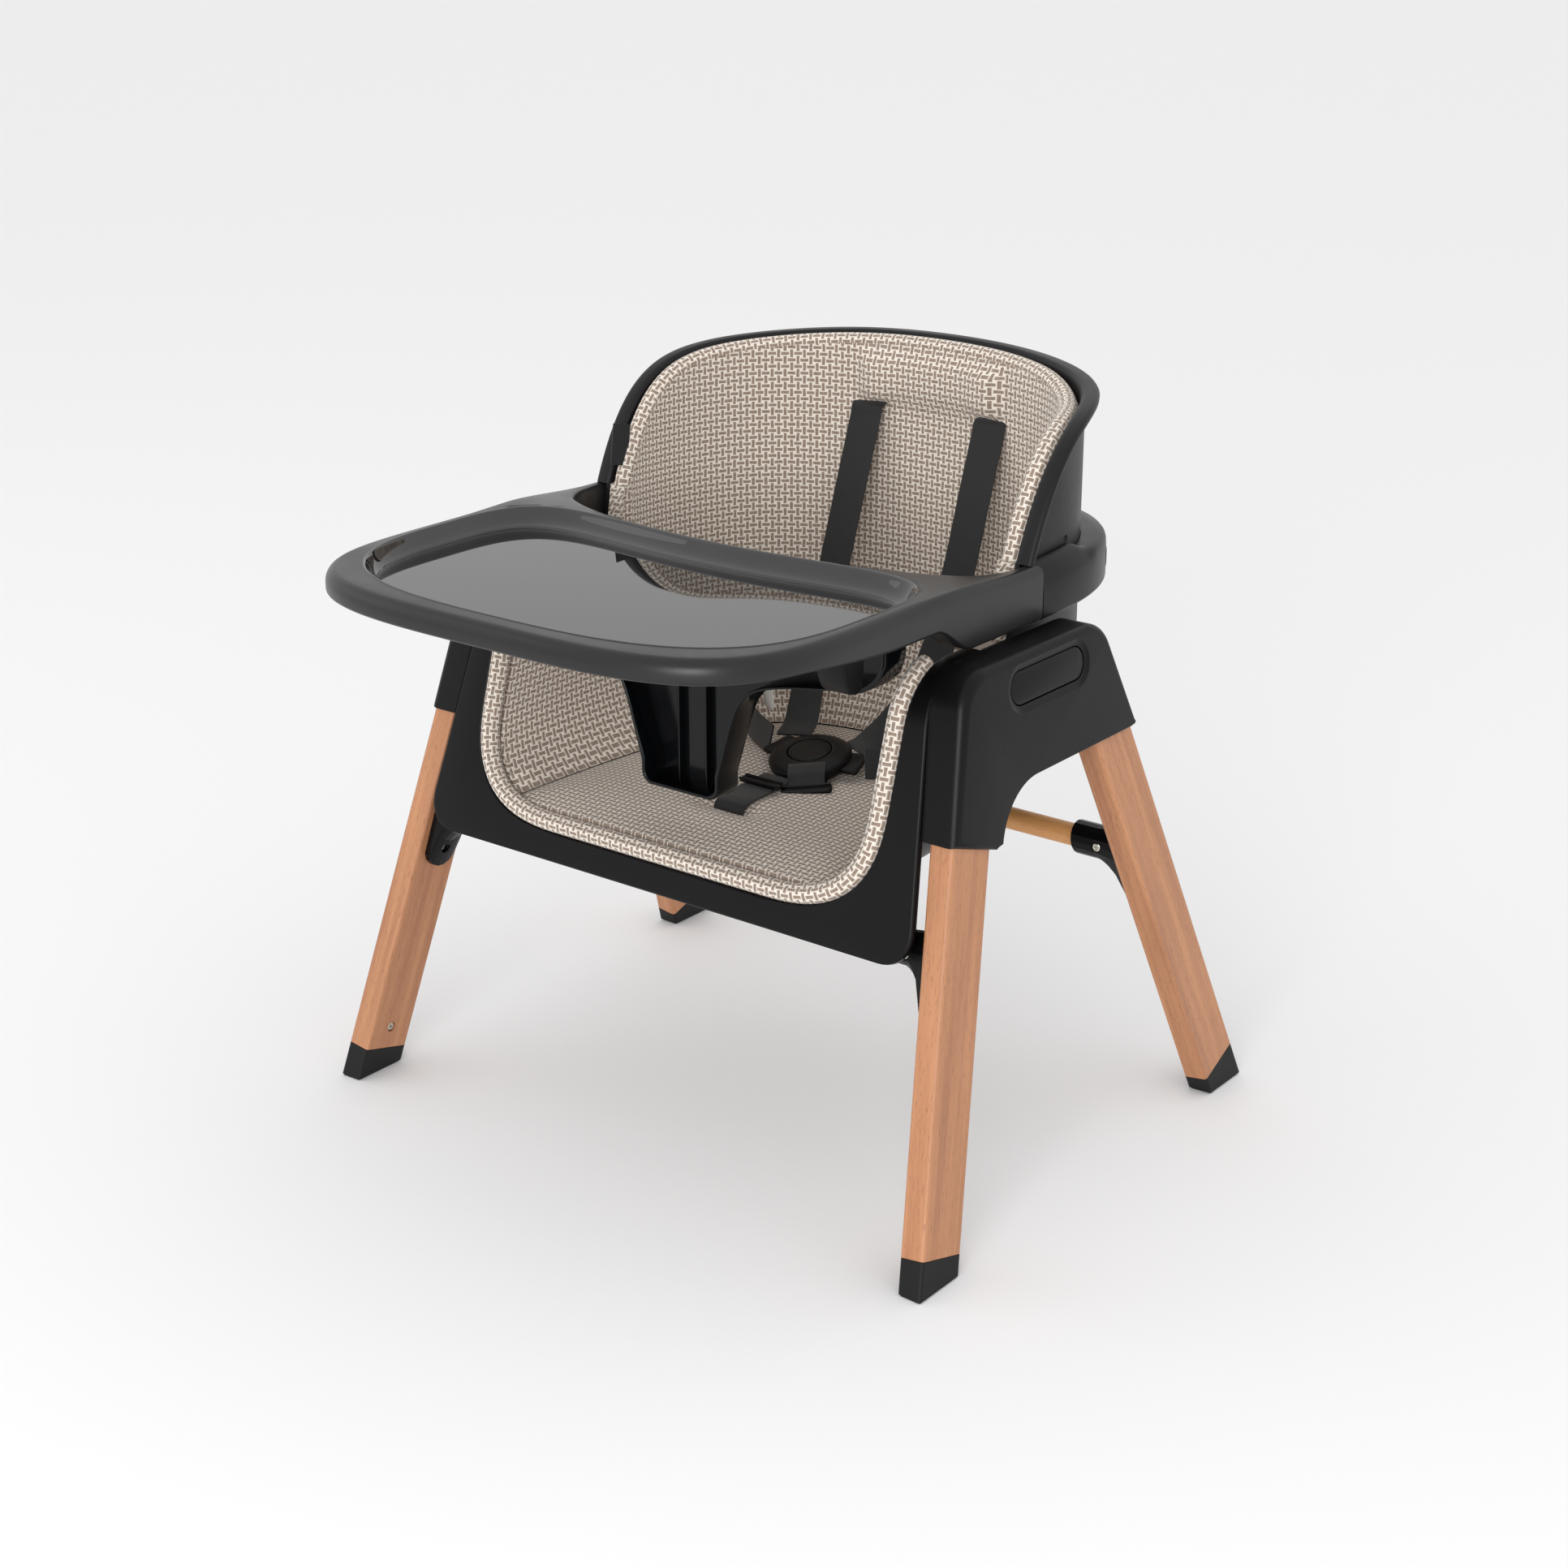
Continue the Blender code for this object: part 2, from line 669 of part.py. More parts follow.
def shell_section(column):
    """The wall's closed section: up the outside, over the flared rim, down the inside."""
    top = rim_height(column)
    raised = column[0] == "curve"
    flare = RIM_FLARE if raised else 0.0
    turn = top - RIM_FLARE_HEIGHT
    size = (SHELL_HALF_WIDTH, SHELL_BACK_Y, SHELL_EXPONENT)

    def at(outset, height):
        return bucket_point(column, outset, height, *size, panel_back_y(height, 3 * GAP))

    corner = corner_profile(column)
    outside = [at(outset, z) for outset, z, _, _ in corner]
    outside += [at(0.0, turn - 0.002), at(flare * 0.25, turn + 0.008), at(flare, top - 0.003), at(flare, top)]
    inside = [at(flare * 0.55 - SHELL_WALL, top), at(flare * 0.35 - SHELL_WALL, top - 0.006)]
    inside += [at(-SHELL_WALL, turn)]
    inside += [at(outset, z) for _, _, outset, z in reversed(corner)]
    return outside + inside


def plan_loop(columns, outset_at, height, front_y):
    """Level loop round the bucket, its outset given for each column."""
    size = (SHELL_HALF_WIDTH, SHELL_BACK_Y, SHELL_EXPONENT)
    return [bucket_point(c, outset_at(c), height, *size, front_y) for c in columns]


def make_seat_shell():
    """One moulding: the wall with its rim, joined to the seat pan."""
    columns = bucket_columns()
    shell = add_solid("seat_shell", [shell_section(c) for c in columns], "black_plastic")
    front = panel_back_y(SHELL_BASE_Z, 3 * GAP) + 0.0004

    def outset(column):
        return PAN_OVERLAP - corner_size(column)[1]

    low = plan_loop(columns, outset, SHELL_BASE_Z + 0.0004, front)
    high = plan_loop(columns, outset, SHELL_BASE_Z + PAN_THICKNESS - 0.0004, front)
    return join(shell, [low, high], "MANIFOLD")


def ring_columns(steps=10):
    """Sections of the armrest ring, from its right end round the back to its left end."""
    turns = [math.radians(180 * i / (2 * steps) - 90) for i in range(1, 2 * steps)]
    curve = [("curve", a, 0) for a in turns]
    return [("side", -1, 1.0), ("side", -1, 0.0)] + curve + [("side", 1, 0.0), ("side", 1, 1.0)]


def ring_section(column):
    """The ring's section between the shell and its own outer curve."""
    def outer(outset, height):
        start = bucket_point(
            column, outset, height, RING_HALF_WIDTH, RING_BACK_Y, RING_EXPONENT, 0.0
        )
        return ring_front(start, column)

    def inner(height):
        near = bucket_point(
            column, 4 * GAP, height, SHELL_HALF_WIDTH, SHELL_BACK_Y, SHELL_EXPONENT, 0.0
        )
        return ring_front(near, column)

    return [
        inner(RING_LOW_Z),
        outer(-0.0015, RING_LOW_Z),
        outer(0.0, RING_LOW_Z + 0.003),
        outer(0.0, RING_SHOULDER_Z),
        outer(-0.0040, RING_TOP_Z - 0.003),
        inner(RING_TOP_Z - 0.0008),
    ]


def ring_front(point, column):
    """Moves the ring's two ends to the seam with the tray and its curve to start there."""
    if column[0] == "side" and column[2] > 0.5:
        return Vector((point.x, SEAM_Y, point.z))
    if column[0] == "side":
        return Vector((point.x, SEAM_Y + 0.004, point.z))
    lowest = SEAM_Y + 0.004
    return Vector((point.x, max(point.y, lowest + 0.0015), point.z))


def ring_button_frame(side):
    """Centre, tangent and outward normal of the ring's button."""
    column = ("curve", side * RING_BUTTON_TURN, 0)
    ahead = ("curve", side * (RING_BUTTON_TURN - 0.02), 0)
    size = (RING_HALF_WIDTH, RING_BACK_Y, RING_EXPONENT, 0.0)
    here = bucket_point(column, 0.0, RING_BUTTON_Z, *size)
    tangent = (bucket_point(ahead, 0.0, RING_BUTTON_Z, *size) - here).normalized()
    normal = Vector((tangent.y, -tangent.x, 0))
    if normal.x * side < 0:
        normal = -normal
    return here, tangent, normal


def ring_button_rings(side, grow, depth_in, depth_out):
    here, tangent, normal = ring_button_frame(side)
    outline = rounded_rectangle(
        RING_BUTTON_SIZE[0] + 2 * grow, RING_BUTTON_SIZE[2] + 2 * grow, 0.0035, 2
    )
    rings = []
    for out in (-depth_in, depth_out):
        middle = here + normal * out
        rings.append([middle + tangent * a + Vector((0, 0, b)) for a, b in outline])
    return rings


def make_armrest_ring():
    """Armrests and their bridge behind the seat, with two sockets for the tray's tongues."""
    ring = add_solid("armrest_ring", [ring_section(c) for c in ring_columns()], "black_plastic")
    for side_name, side in SIDES.items():
        depth = RING_BUTTON_SIZE[1] + 0.0034
        cut(ring, ring_button_rings(side, 0.0005, depth, 0.006))
        button = ring_button_rings(side, 0.0, RING_BUTTON_SIZE[1], -0.0006)
        add_solid(f"armrest_button_{side_name}", button, "black_plastic")
        low, high = tongue_box(side, 0.0004)
        cut(ring, flat_rings(low, high))


def tongue_box(side, grow):
    """The tongue on each tray arm that the ring's socket holds."""
    x_low, x_high = sorted((side * (0.1815 - grow), side * (0.1862 + grow)))
    low = (x_low, SEAM_Y - 0.010, 0.3850 - grow)
    high = (x_high, SEAM_Y + 0.012 + grow, 0.4020 + grow)
    return low, high


# ---------------------------------------------------------------- front panel
def top_runs():
    """Distances up the panel, measured from the floor along its height and then its bend."""
    bend = PANEL_BEND_RADIUS * (math.pi / 2 - math.atan(PANEL_RAKE))
    return [PANEL_BEND_Z + bend + 0.022] + [PANEL_BEND_Z + bend * i / 4 for i in (4, 3, 2, 1, 0)]


def opening_outline(steps=7):
    """The U-shaped opening as (x, run), down its right side and up its left side."""
    half = [(OPENING_HALF_WIDTH, run) for run in top_runs()] + [(OPENING_HALF_WIDTH, 0.3150)]
    for i in range(steps + 1):
        angle = math.pi / 2 * i / steps
        x = 0.0895 + 0.0850 * power(math.cos(angle), 2 / SHELL_EXPONENT)
        run = 0.2905 - (0.2905 - OPENING_LOW_Z) * power(math.sin(angle), 2 / SHELL_EXPONENT)
        half.append((x, run))
    half.append((0.030, OPENING_LOW_Z))
    return [(-x, run) for x, run in half] + [(x, run) for x, run in reversed(half)]


def panel_outline(steps=7):
    """The panel's outer edge, matched point for point with the opening."""
    def edge(run):
        return PANEL_EDGE - LEAN * panel_surface(0, run, 0).z

    half = [(edge(run), run) for run in top_runs() + [0.3150, 0.2800, 0.2450]]
    for i in range(steps - 2):
        turn = math.pi / 2 * i / (steps - 3)
        low = PANEL_LOW_Z + PANEL_CORNER * (1 - math.sin(turn))
        half.append((edge(low) - PANEL_CORNER * (1 - math.cos(turn)), low))
    half += [(0.120, PANEL_LOW_Z), (0.030, PANEL_LOW_Z)]
    return [(-x, run) for x, run in half] + [(x, run) for x, run in reversed(half)]


def panel_surface(x, run, depth):
    """The point of the panel so far up its face and so deep behind it."""
    upright = Vector((0, PANEL_RAKE, 1)).normalized()
    if run <= PANEL_BEND_Z:
        return Vector((x, panel_front_y(run), run)) + Vector((0, upright.z, -upright.y)) * depth
    tilt = math.atan(PANEL_RAKE)
    angle = min(tilt + (run - PANEL_BEND_Z) / PANEL_BEND_RADIUS, math.pi / 2)
    level = max(run - PANEL_BEND_Z - PANEL_BEND_RADIUS * (math.pi / 2 - tilt), 0.0)
    centre_y, centre_z = panel_bend_centre()
    reach = PANEL_BEND_RADIUS - depth
    return Vector((x, centre_y - reach * math.cos(angle) + level, centre_z + reach * math.sin(angle)))


def panel_rings(inner, outer, depth):
    rings = []
    for near, far in zip(inner, outer):
        rings.append([
            panel_surface(near[0], near[1], 0.0),
            panel_surface(far[0], far[1], 0.0),
            panel_surface(far[0], far[1], depth),
            panel_surface(near[0], near[1], depth),
        ])
    return rings


def make_front_panel():
    add_solid(
        "front_panel",
        panel_rings(opening_outline(), panel_outline(), PANEL_THICKNESS),
        "black_plastic",
    )


# ---------------------------------------------------------------- padding
def liner_outset(column, height):
    """The padding's outer face: inside the wall, and clear of its rounded lower corner."""
    clearance = SHELL_WALL + PAD_BACKING_GAP
    return -clearance - corner_inset(column, height - clearance)


def make_seat_pad():
    """Crowned slab on the pan, with the slot that the crotch strap comes up through."""
    columns = [c for c in bucket_columns() if c[0] == "curve"]
    columns = [("side", -1, 1.0)] + columns + [("side", 1, 1.0)]
    front = panel_front_y(SEAT_EDGE_Z) + PANEL_THICKNESS + PAD_FRONT_GAP
    low = SHELL_BASE_Z + PAN_THICKNESS + PAD_BACKING_GAP
    rings = []
    side_top = SEAT_EDGE_Z - 0.0030
    for height in (low, low + 0.0022, low + 0.0060, side_top):
        rings.append(plan_loop(columns, lambda c: liner_outset(c, height), height, front))
    for inwards, height in ((0.004, SEAT_EDGE_Z), (0.044, SEAT_CROWN_Z)):
        loop = plan_loop(columns, lambda c: liner_outset(c, side_top) - inwards, height, front + inwards)
        rings.append(loop)
    pad = add_solid("seat_pad", rings, "woven_fabric")
    half_slot = WEBBING_WIDTH / 2 + 0.003
    low = (-half_slot, CROTCH_STRAP_Y - 0.004, SHELL_BASE_Z)
    high = (half_slot, CROTCH_STRAP_Y + 0.004, SEAT_CROWN_Z + 0.010)
    return cut(pad, flat_rings(low, high))


def back_pad_section(column):
    """Padding inside the wall: it stands on the seat pad and stops short of the rim."""
    top = min(rim_height(column) - 0.010, BACK_PAD_TOP_Z)
    if column[0] == "side":
        top = min(top, SHELL_SIDE_TOP_Z - 0.004)
    size = (SHELL_HALF_WIDTH, SHELL_BACK_Y, SHELL_EXPONENT)

    def at(inwards, height):
        outset = liner_outset(column, height) - inwards
        return bucket_point(column, outset, height, *size, panel_back_y(height, PAD_FRONT_GAP))

    outside = [at(0.0, height) for height in BACK_PAD_LEVELS] + [at(0.0, top)]
    inside = [at(PAD_THICKNESS * 0.7, top), at(PAD_THICKNESS, top - 0.006)]
    return outside + inside + [at(PAD_THICKNESS, height) for height in reversed(BACK_PAD_LEVELS)]


def make_back_pad():
    return add_solid("back_pad", [back_pad_section(c) for c in bucket_columns()], "woven_fabric")


def make_edge_roll():
    """The padded roll that lines the opening of the front panel."""
    path = inset(opening_outline(), ROLL_RADIUS + 0.0006)
    centres = [panel_surface(x, run, PANEL_THICKNESS / 2) for x, run in path[3:-3]]
    rings = []
    for i, here in enumerate(centres):
        ahead = centres[min(i + 1, len(centres) - 1)]
        behind = centres[max(i - 1, 0)]
        along = (ahead - behind).normalized()
        across = along.cross(Vector((0, 1, -PANEL_RAKE))).normalized()
        depth = across.cross(along)
        rings.append([here + across * a + depth * b for a, b in circle(ROLL_RADIUS, 8)])
    return add_solid("cushion_edge_roll", rings, "woven_fabric")


# ---------------------------------------------------------------- harness
def ribbon(name, points, across, width=WEBBING_WIDTH, thickness=WEBBING_THICKNESS, material="webbing"):
    """A flat bar or strap along points, with its width along the given direction."""
    centres = [Vector(p) for p in points]
    wide = Vector(across).normalized() * width / 2
    rings = []
    for i, here in enumerate(centres):
        ahead = centres[min(i + 1, len(centres) - 1)]
        behind = centres[max(i - 1, 0)]
        thin = (ahead - behind).cross(wide).normalized() * thickness / 2
        rings.append([here + wide + thin, here - wide + thin, here - wide - thin, here + wide - thin])
    return add_solid(name, rings, material)


def pad_front_y(x, clearance):
    """The back pad's front face at x, less a clearance."""
    outset = -SHELL_WALL - 0.001 - PAD_THICKNESS
    reach = SHELL_BACK_Y + outset - SHELL_FRONT_OF_CURVE
    share = min(abs(x) / (SHELL_HALF_WIDTH + outset), 1.0)
    return SHELL_FRONT_OF_CURVE + reach * (1 - share ** SHELL_EXPONENT) ** (1 / SHELL_EXPONENT) - clearance


def lap_route(side):
    """Lap strap from its anchor in the corner of the seat to the buckle."""
    anchor = (side * 0.118, 0.106, 0.2620)
    end = (side * 0.042 + BUCKLE_CENTRE[0], 0.048, 0.2458)
    return [anchor, (side * 0.096, 0.090, 0.2520), (side * 0.070, 0.068, 0.2465), end]


def make_straps():
    """Two shoulder straps, two lap straps and the crotch strap."""
    for side_name, side in SIDES.items():
        y = pad_front_y(SLOT_X + WEBBING_WIDTH / 2, 0.0018)
        x = side * SLOT_X
        points = [(x, y, SLOT_Z), (x, y - 0.019, 0.420), (x, y - 0.040, 0.362)]
        points += [(x * 0.95, y - 0.062, 0.305), (x * 0.80, y - 0.085, 0.272), (x * 0.62, 0.078, 0.2540)]
        ribbon(f"shoulder_strap_{side_name}", points, (1, 0, 0))
        ribbon(f"lap_strap_{side_name}", lap_route(side), LAP_STRAP_ACROSS, width=LAP_STRAP_WIDTH)
    y = CROTCH_STRAP_Y
    crotch = [(0, y, 0.2180), (0, y + 0.0005, 0.2310), (0, y + 0.008, 0.2345), (0, y + 0.026, 0.2350)]
    crotch += [(0, y + 0.044, 0.2362), (0, y + 0.056, 0.2372)]
    ribbon("crotch_strap", crotch, (1, 0, 0))


def buckle_axes():
    """Centre, outward normal and forward direction of the buckle's flat face."""
    normal = Vector((0, -math.sin(BUCKLE_TILT), math.cos(BUCKLE_TILT)))
    return Vector(BUCKLE_CENTRE), normal


def make_buckle():
    """Round buckle with a well for its release button."""
    centre, normal = buckle_axes()
    button_radius = 0.0155
    wall = [
        (-0.0060, 0.020),
        (-0.0045, BUCKLE_RADIUS - 0.002),
        (0.0010, BUCKLE_RADIUS),
        (0.0045, 0.0250),
        (0.0062, button_radius + 0.0010),
        (0.0015, button_radius + 0.0006),
    ]
    add_solid("buckle_body", turned_rings(centre, normal, wall, 24), "black_plastic")
    dome = [(0.0045, button_radius), (0.0060, button_radius), (0.0068, button_radius * 0.7)]
    add_solid("buckle_button", turned_rings(centre, normal, dome, 24), "black_plastic")


def make_adjusters():
    """Sliding bars on the lap straps and the crotch strap, each just clear of its webbing."""
    stand_off = WEBBING_THICKNESS / 2 + ADJUSTER_THICKNESS / 2 + GAP
    for side_name, side in SIDES.items():
        start, end = (Vector(p) for p in lap_route(side)[1:3])
        along = (end - start).normalized()
        forward = along.cross(Vector(LAP_STRAP_ACROSS)).normalized() * -side
        middle = (start + end) / 2 + forward * stand_off
        ends = (middle - along * ADJUSTER_LENGTH / 2, middle + along * ADJUSTER_LENGTH / 2)
        ribbon(
            f"lap_adjuster_{side_name}", ends, LAP_STRAP_ACROSS,
            LAP_STRAP_WIDTH + 0.005, ADJUSTER_THICKNESS, "black_plastic",
        )
    middle = Vector((0, CROTCH_STRAP_Y + 0.036, 0.2358 + stand_off + GAP))
    ends = (middle - Vector((0, ADJUSTER_LENGTH / 2, 0)), middle + Vector((0, ADJUSTER_LENGTH / 2, 0.0008)))
    ribbon(
        "crotch_adjuster", ends, (1, 0, 0), WEBBING_WIDTH + 0.008, ADJUSTER_THICKNESS, "black_plastic",
    )


# ---------------------------------------------------------------- tray
def tray_back_edge(x, inward, swept):
    """Back edge of the tray: hollow to the sitter, swept into the arms at its ends."""
    hollow = 0.0165 * (x / 0.130) ** 2
    sweep = 0.030 * min(abs(x) / 0.178, 1.0) ** 12 if swept else 0.0
    return TRAY_BACK_Y + hollow + sweep - inward


def tray_loop(inward, height, swept=False, corner=3.2, steps=8):
    """Closed plan curve of the tray, set in from its outer edge."""
    half_width = TRAY_HALF_WIDTH - inward
    half_depth = TRAY_MIDDLE_Y - TRAY_FRONT_Y - inward
    points = []
    for i in range(2 * steps + 1):
        angle = math.pi * i / (2 * steps)
        x = half_width * power(math.cos(angle), 2 / TRAY_EXPONENT)
        y = TRAY_MIDDLE_Y - half_depth * power(math.sin(angle), 2 / TRAY_EXPONENT)
        points.append(Vector((x, y, height)))
    for i in range(1, 2 * steps):
        angle = math.pi * (1 + i / (2 * steps))
        x = half_width * power(math.cos(angle), 2 / corner)
        reach = tray_back_edge(x, inward, swept) - TRAY_MIDDLE_Y
        y = TRAY_MIDDLE_Y + reach * power(-math.sin(angle), 2 / corner)
        points.append(Vector((x, y, height)))
    return points


def well_loop(share, height, steps=8):
    """Closed plan curve of the tray's well: share 0 at its ridge, 1 at the edge of its floor."""
    half_width = WELL_HALF_WIDTH - WELL_SIDE_SLOPE * share
    half_depth = TRAY_MIDDLE_Y - WELL_FRONT_Y - WELL_FRONT_SLOPE * share
    back_inset = WELL_BACK_INSET + WELL_BACK_SLOPE * share
    points = []
    for i in range(4 * steps):
        angle = math.pi * i / (2 * steps)
        front = i <= 2 * steps
        exponent = WELL_FRONT_EXPONENT if front else WELL_BACK_EXPONENT
        x = half_width * power(math.cos(angle), 2 / exponent)
        reach = -half_depth if front else tray_back_edge(x, back_inset, False) - TRAY_MIDDLE_Y
        points.append(Vector((x, TRAY_MIDDLE_Y + reach * abs(math.sin(angle)) ** (2 / exponent), height)))
    return points


def raised_front(loop):
    """The lower edge of the rim, which is higher along the tray's front than at its arms."""
    rise = TRAY_FRONT_LOW_Z - TRAY_LOW_Z
    raised = []
    for point in loop:
        share = min(max((-0.115 - point.y) / 0.090, 0.0), 1.0)
        raised.append(point + Vector((0, 0, rise * share)))
    return raised


def tray_arm_rings(side):
    """One arm: it deepens behind the tray and ends square at the seam."""
    stations = (
        (-0.1000, 0.3985),
        (-0.0760, 0.3980),
        (-0.0560, 0.3900),
        (-0.0360, 0.3800),
        (SEAM_Y - GAP, 0.3785),
    )
    rings = []
    for y, low in stations:
        outline = (
            (TRAY_ARM_INNER, low),
            (0.1885, low),
            (TRAY_HALF_WIDTH, low + 0.003),
            (TRAY_HALF_WIDTH, RING_SHOULDER_Z),
            (0.1860, 0.4150),
            (TRAY_ARM_INNER, 0.4172),
        )
        rings.append([Vector((side * x, y, z)) for x, z in outline])
    return rings


def make_tray_base():
    """Outer moulding: rolled rim, recess for the liner, hollow underside and two arms."""
    rings = [
        tray_loop(0.0120, TRAY_FLOOR_Z - TRAY_FLOOR_THICKNESS),
        raised_front(tray_loop(0.0090, TRAY_LOW_Z, True, 8)),
        raised_front(tray_loop(0.0010, TRAY_LOW_Z, True, 8)),
        raised_front(tray_loop(0.0000, TRAY_LOW_Z + 0.004, True, 8)),
        tray_loop(0.0004, 0.4145, True, 8),
        tray_loop(0.0030, TRAY_CROWN_Z - 0.0014, True, 8),
        well_loop(0.0, TRAY_CROWN_Z - 0.0012),
        well_loop(0.15, 0.4170),
        well_loop(0.72, TRAY_FLOOR_Z),
    ]
    tray = add_solid("tray_base", rings, "black_plastic")
    for side in SIDES.values():
        join(tray, tray_arm_rings(side))
        join(tray, flat_rings(*tongue_box(side, 0.0)))


def make_tray_liner():
    """Gloss liner that drops into the recess, with a lip over the tray's ridge."""
    up = GAP + 0.0001
    rings = [
        well_loop(0.76, TRAY_FLOOR_Z + up),
        well_loop(0.19, 0.4170 + up),
        well_loop(0.02, TRAY_CROWN_Z - 0.0012 + up),
        well_loop(0.03, TRAY_CROWN_Z - 0.0002 + up),
        well_loop(0.45, 0.4185 + up),
        well_loop(1.0, TRAY_FLOOR_Z + up + LINER_THICKNESS),
    ]
    add_solid("tray_liner", rings, "gloss_plastic")


def post_outline(inward):
    """Front view (x, z) of the post and its T-shaped skirt."""
    half = POST_HALF_WIDTH - inward
    low = POST_LOW_Z + inward
    top = TRAY_FLOOR_Z - TRAY_FLOOR_THICKNESS - 2 * GAP
    skirt = POST_SKIRT_Z + inward
    end = POST_SKIRT_HALF_WIDTH - inward
    foot_radius = 0.0085 - inward / 2
    points = arc((half - foot_radius, low + foot_radius), foot_radius, -90, 0, 3)
    for x, z in POST_FLARE:
        points.append((x - inward * 0.8, z + inward * 0.6))
    points += [(end - 0.020, skirt + 0.0005), (end - 0.006, skirt + 0.010), (end, skirt + 0.022)]
    points += [(end, top - inward)]
    return points + [(-x, z) for x, z in reversed(points)]


def make_crotch_post():
    """Channel-shaped post under the tray, open to the front and stiffened by two ribs."""
    def ring(inward, y):
        return [Vector((x, y, z)) for x, z in post_outline(inward)]

    rings = [
        ring(0.0, POST_BACK_Y),
        ring(0.0, POST_FRONT_Y),
        ring(POST_WALL, POST_FRONT_Y),
        ring(POST_WALL, POST_BACK_Y - POST_WALL),
    ]
    post = add_solid("crotch_post", rings, "black_plastic")
    for x in (-0.0125, 0.0110):
        low = (x - 0.0010, POST_FRONT_Y + 0.006, POST_LOW_Z + 0.0015)
        high = (x + 0.0010, POST_BACK_Y - 0.0015, 0.3850)
        join(post, flat_rings(low, high), "MANIFOLD")


def make_tray_latch(side_name):
    """Finger lever under each side of the tray, pulled forward to free it."""
    side = SIDES[side_name]
    outline = [(-0.1420, 0.3998), (-0.1390, 0.3800), (-0.1330, 0.3690), (-0.1240, 0.3670)]
    outline += [(-0.1190, 0.3720), (-0.1180, 0.3998)]
    near = [Vector((side * 0.1440, y, z)) for y, z in outline]
    far = [Vector((side * 0.1660, y, z)) for y, z in outline]
    add_solid(f"tray_latch_{side_name}", [near, far], "black_plastic")


# ---------------------------------------------------------------- assembly
def clear_scene():
    for old in list(bpy.data.objects):
        bpy.data.objects.remove(old, do_unlink=True)


def main():
    clear_scene()
    layout = bpy.data.objects.new("chair_layout", None)
    layout.location = (0, LAYOUT_SHIFT_Y, 0)
    collection().objects.link(layout)

    legs = make_legs()
    for (_, side_name), leg in legs.items():
        make_leg(leg, side_name)
        make_fitting(leg, side_name)
    for end in ("front", "rear"):
        make_crossbar(legs, end)
    for side_name in SIDES:
        make_housing(legs, side_name)
        make_housing_cover(side_name)
        make_release_button(side_name)
        make_seat_hub(side_name)
        make_tray_latch(side_name)
    make_seat_shell()
    make_armrest_ring()
    make_front_panel()
    make_seat_pad()
    make_back_pad()
    make_edge_roll()
    make_straps()
    make_buckle()
    make_adjusters()
    make_tray_base()
    make_tray_liner()
    make_crotch_post()
    bpy.context.view_layer.update()


main()
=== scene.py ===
import json
import math

import bmesh
import bpy
import numpy as np
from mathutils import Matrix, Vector
from mathutils.geometry import delaunay_2d_cdt


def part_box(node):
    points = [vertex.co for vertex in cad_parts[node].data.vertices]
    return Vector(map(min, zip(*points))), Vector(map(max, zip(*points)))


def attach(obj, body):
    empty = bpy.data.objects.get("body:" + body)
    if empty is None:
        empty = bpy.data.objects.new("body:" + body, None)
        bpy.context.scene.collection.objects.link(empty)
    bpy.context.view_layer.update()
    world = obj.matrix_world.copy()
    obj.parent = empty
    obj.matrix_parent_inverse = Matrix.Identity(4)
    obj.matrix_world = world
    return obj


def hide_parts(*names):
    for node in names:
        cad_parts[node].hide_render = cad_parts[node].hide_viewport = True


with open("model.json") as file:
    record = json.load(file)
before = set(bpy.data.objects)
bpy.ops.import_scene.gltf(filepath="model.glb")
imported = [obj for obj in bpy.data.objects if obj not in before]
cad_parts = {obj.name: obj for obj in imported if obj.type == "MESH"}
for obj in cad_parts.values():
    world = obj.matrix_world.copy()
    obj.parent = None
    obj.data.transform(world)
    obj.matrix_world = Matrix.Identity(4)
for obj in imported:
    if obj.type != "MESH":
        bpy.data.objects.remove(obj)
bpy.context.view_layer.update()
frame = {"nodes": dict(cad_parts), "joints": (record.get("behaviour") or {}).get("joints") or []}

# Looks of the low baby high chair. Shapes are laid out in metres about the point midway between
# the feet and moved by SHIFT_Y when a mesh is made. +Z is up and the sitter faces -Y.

SHIFT_Y = 0.0290
SIDES = {"left": 1, "right": -1}
FRAME_BODY = "chair_frame"

# side planes: x = plane - LEAN * z
LEAN = 0.1334
REAR_LEAN = 0.1430
REAR_RAKE = -0.3839
HOUSING_OUTER = 0.2639
HOUSING_INNER = 0.2394
PANEL_EDGE = 0.2376

# crossbars
DOWEL_EASE = 0.0008

# bucket
BUCKET_HALF_WIDTH = 0.1780
BUCKET_BACK_Y = 0.2080
BUCKET_CURVE_Y = 0.0340
BUCKET_EXPONENT = 2.66
BUCKET_BASE_Z = 0.2106
FRONT_CORNER = (0.2905, 0.0885)
BACK_CORNER = (0.3300, 0.1200)
CORNER_GROWTH_SHARE = 0.35
BUCKET_WALL = 0.0030
RIM_BACK_Z = 0.5189
RIM_CORNER_DROP = 0.0131
RIM_FRONT_Z = 0.4200
RIM_CURVE_POWER = 5
RIM_FLARE = 0.0096
RIM_FOOT = 0.0030

# front panel
PANEL_LOW_Z = 0.1950
PANEL_RAKE = 0.2895
PANEL_FOOT_Y = -0.1876
PANEL_THICKNESS = 0.0055
PANEL_CORNER = 0.0240
PANEL_BEND_Z = 0.3400
PANEL_BEND_RADIUS = 0.0480
OPENING_HALF_WIDTH = 0.1745
OPENING_LOW_Z = 0.2140

# armrest ring
RING_HALF_WIDTH = 0.1900
RING_BACK_Y = 0.2290
RING_EXPONENT = 2.8
RING_LOW_Z = 0.3780
RING_SHOULDER_Z = 0.4050
SEAM_Y = 0.0450

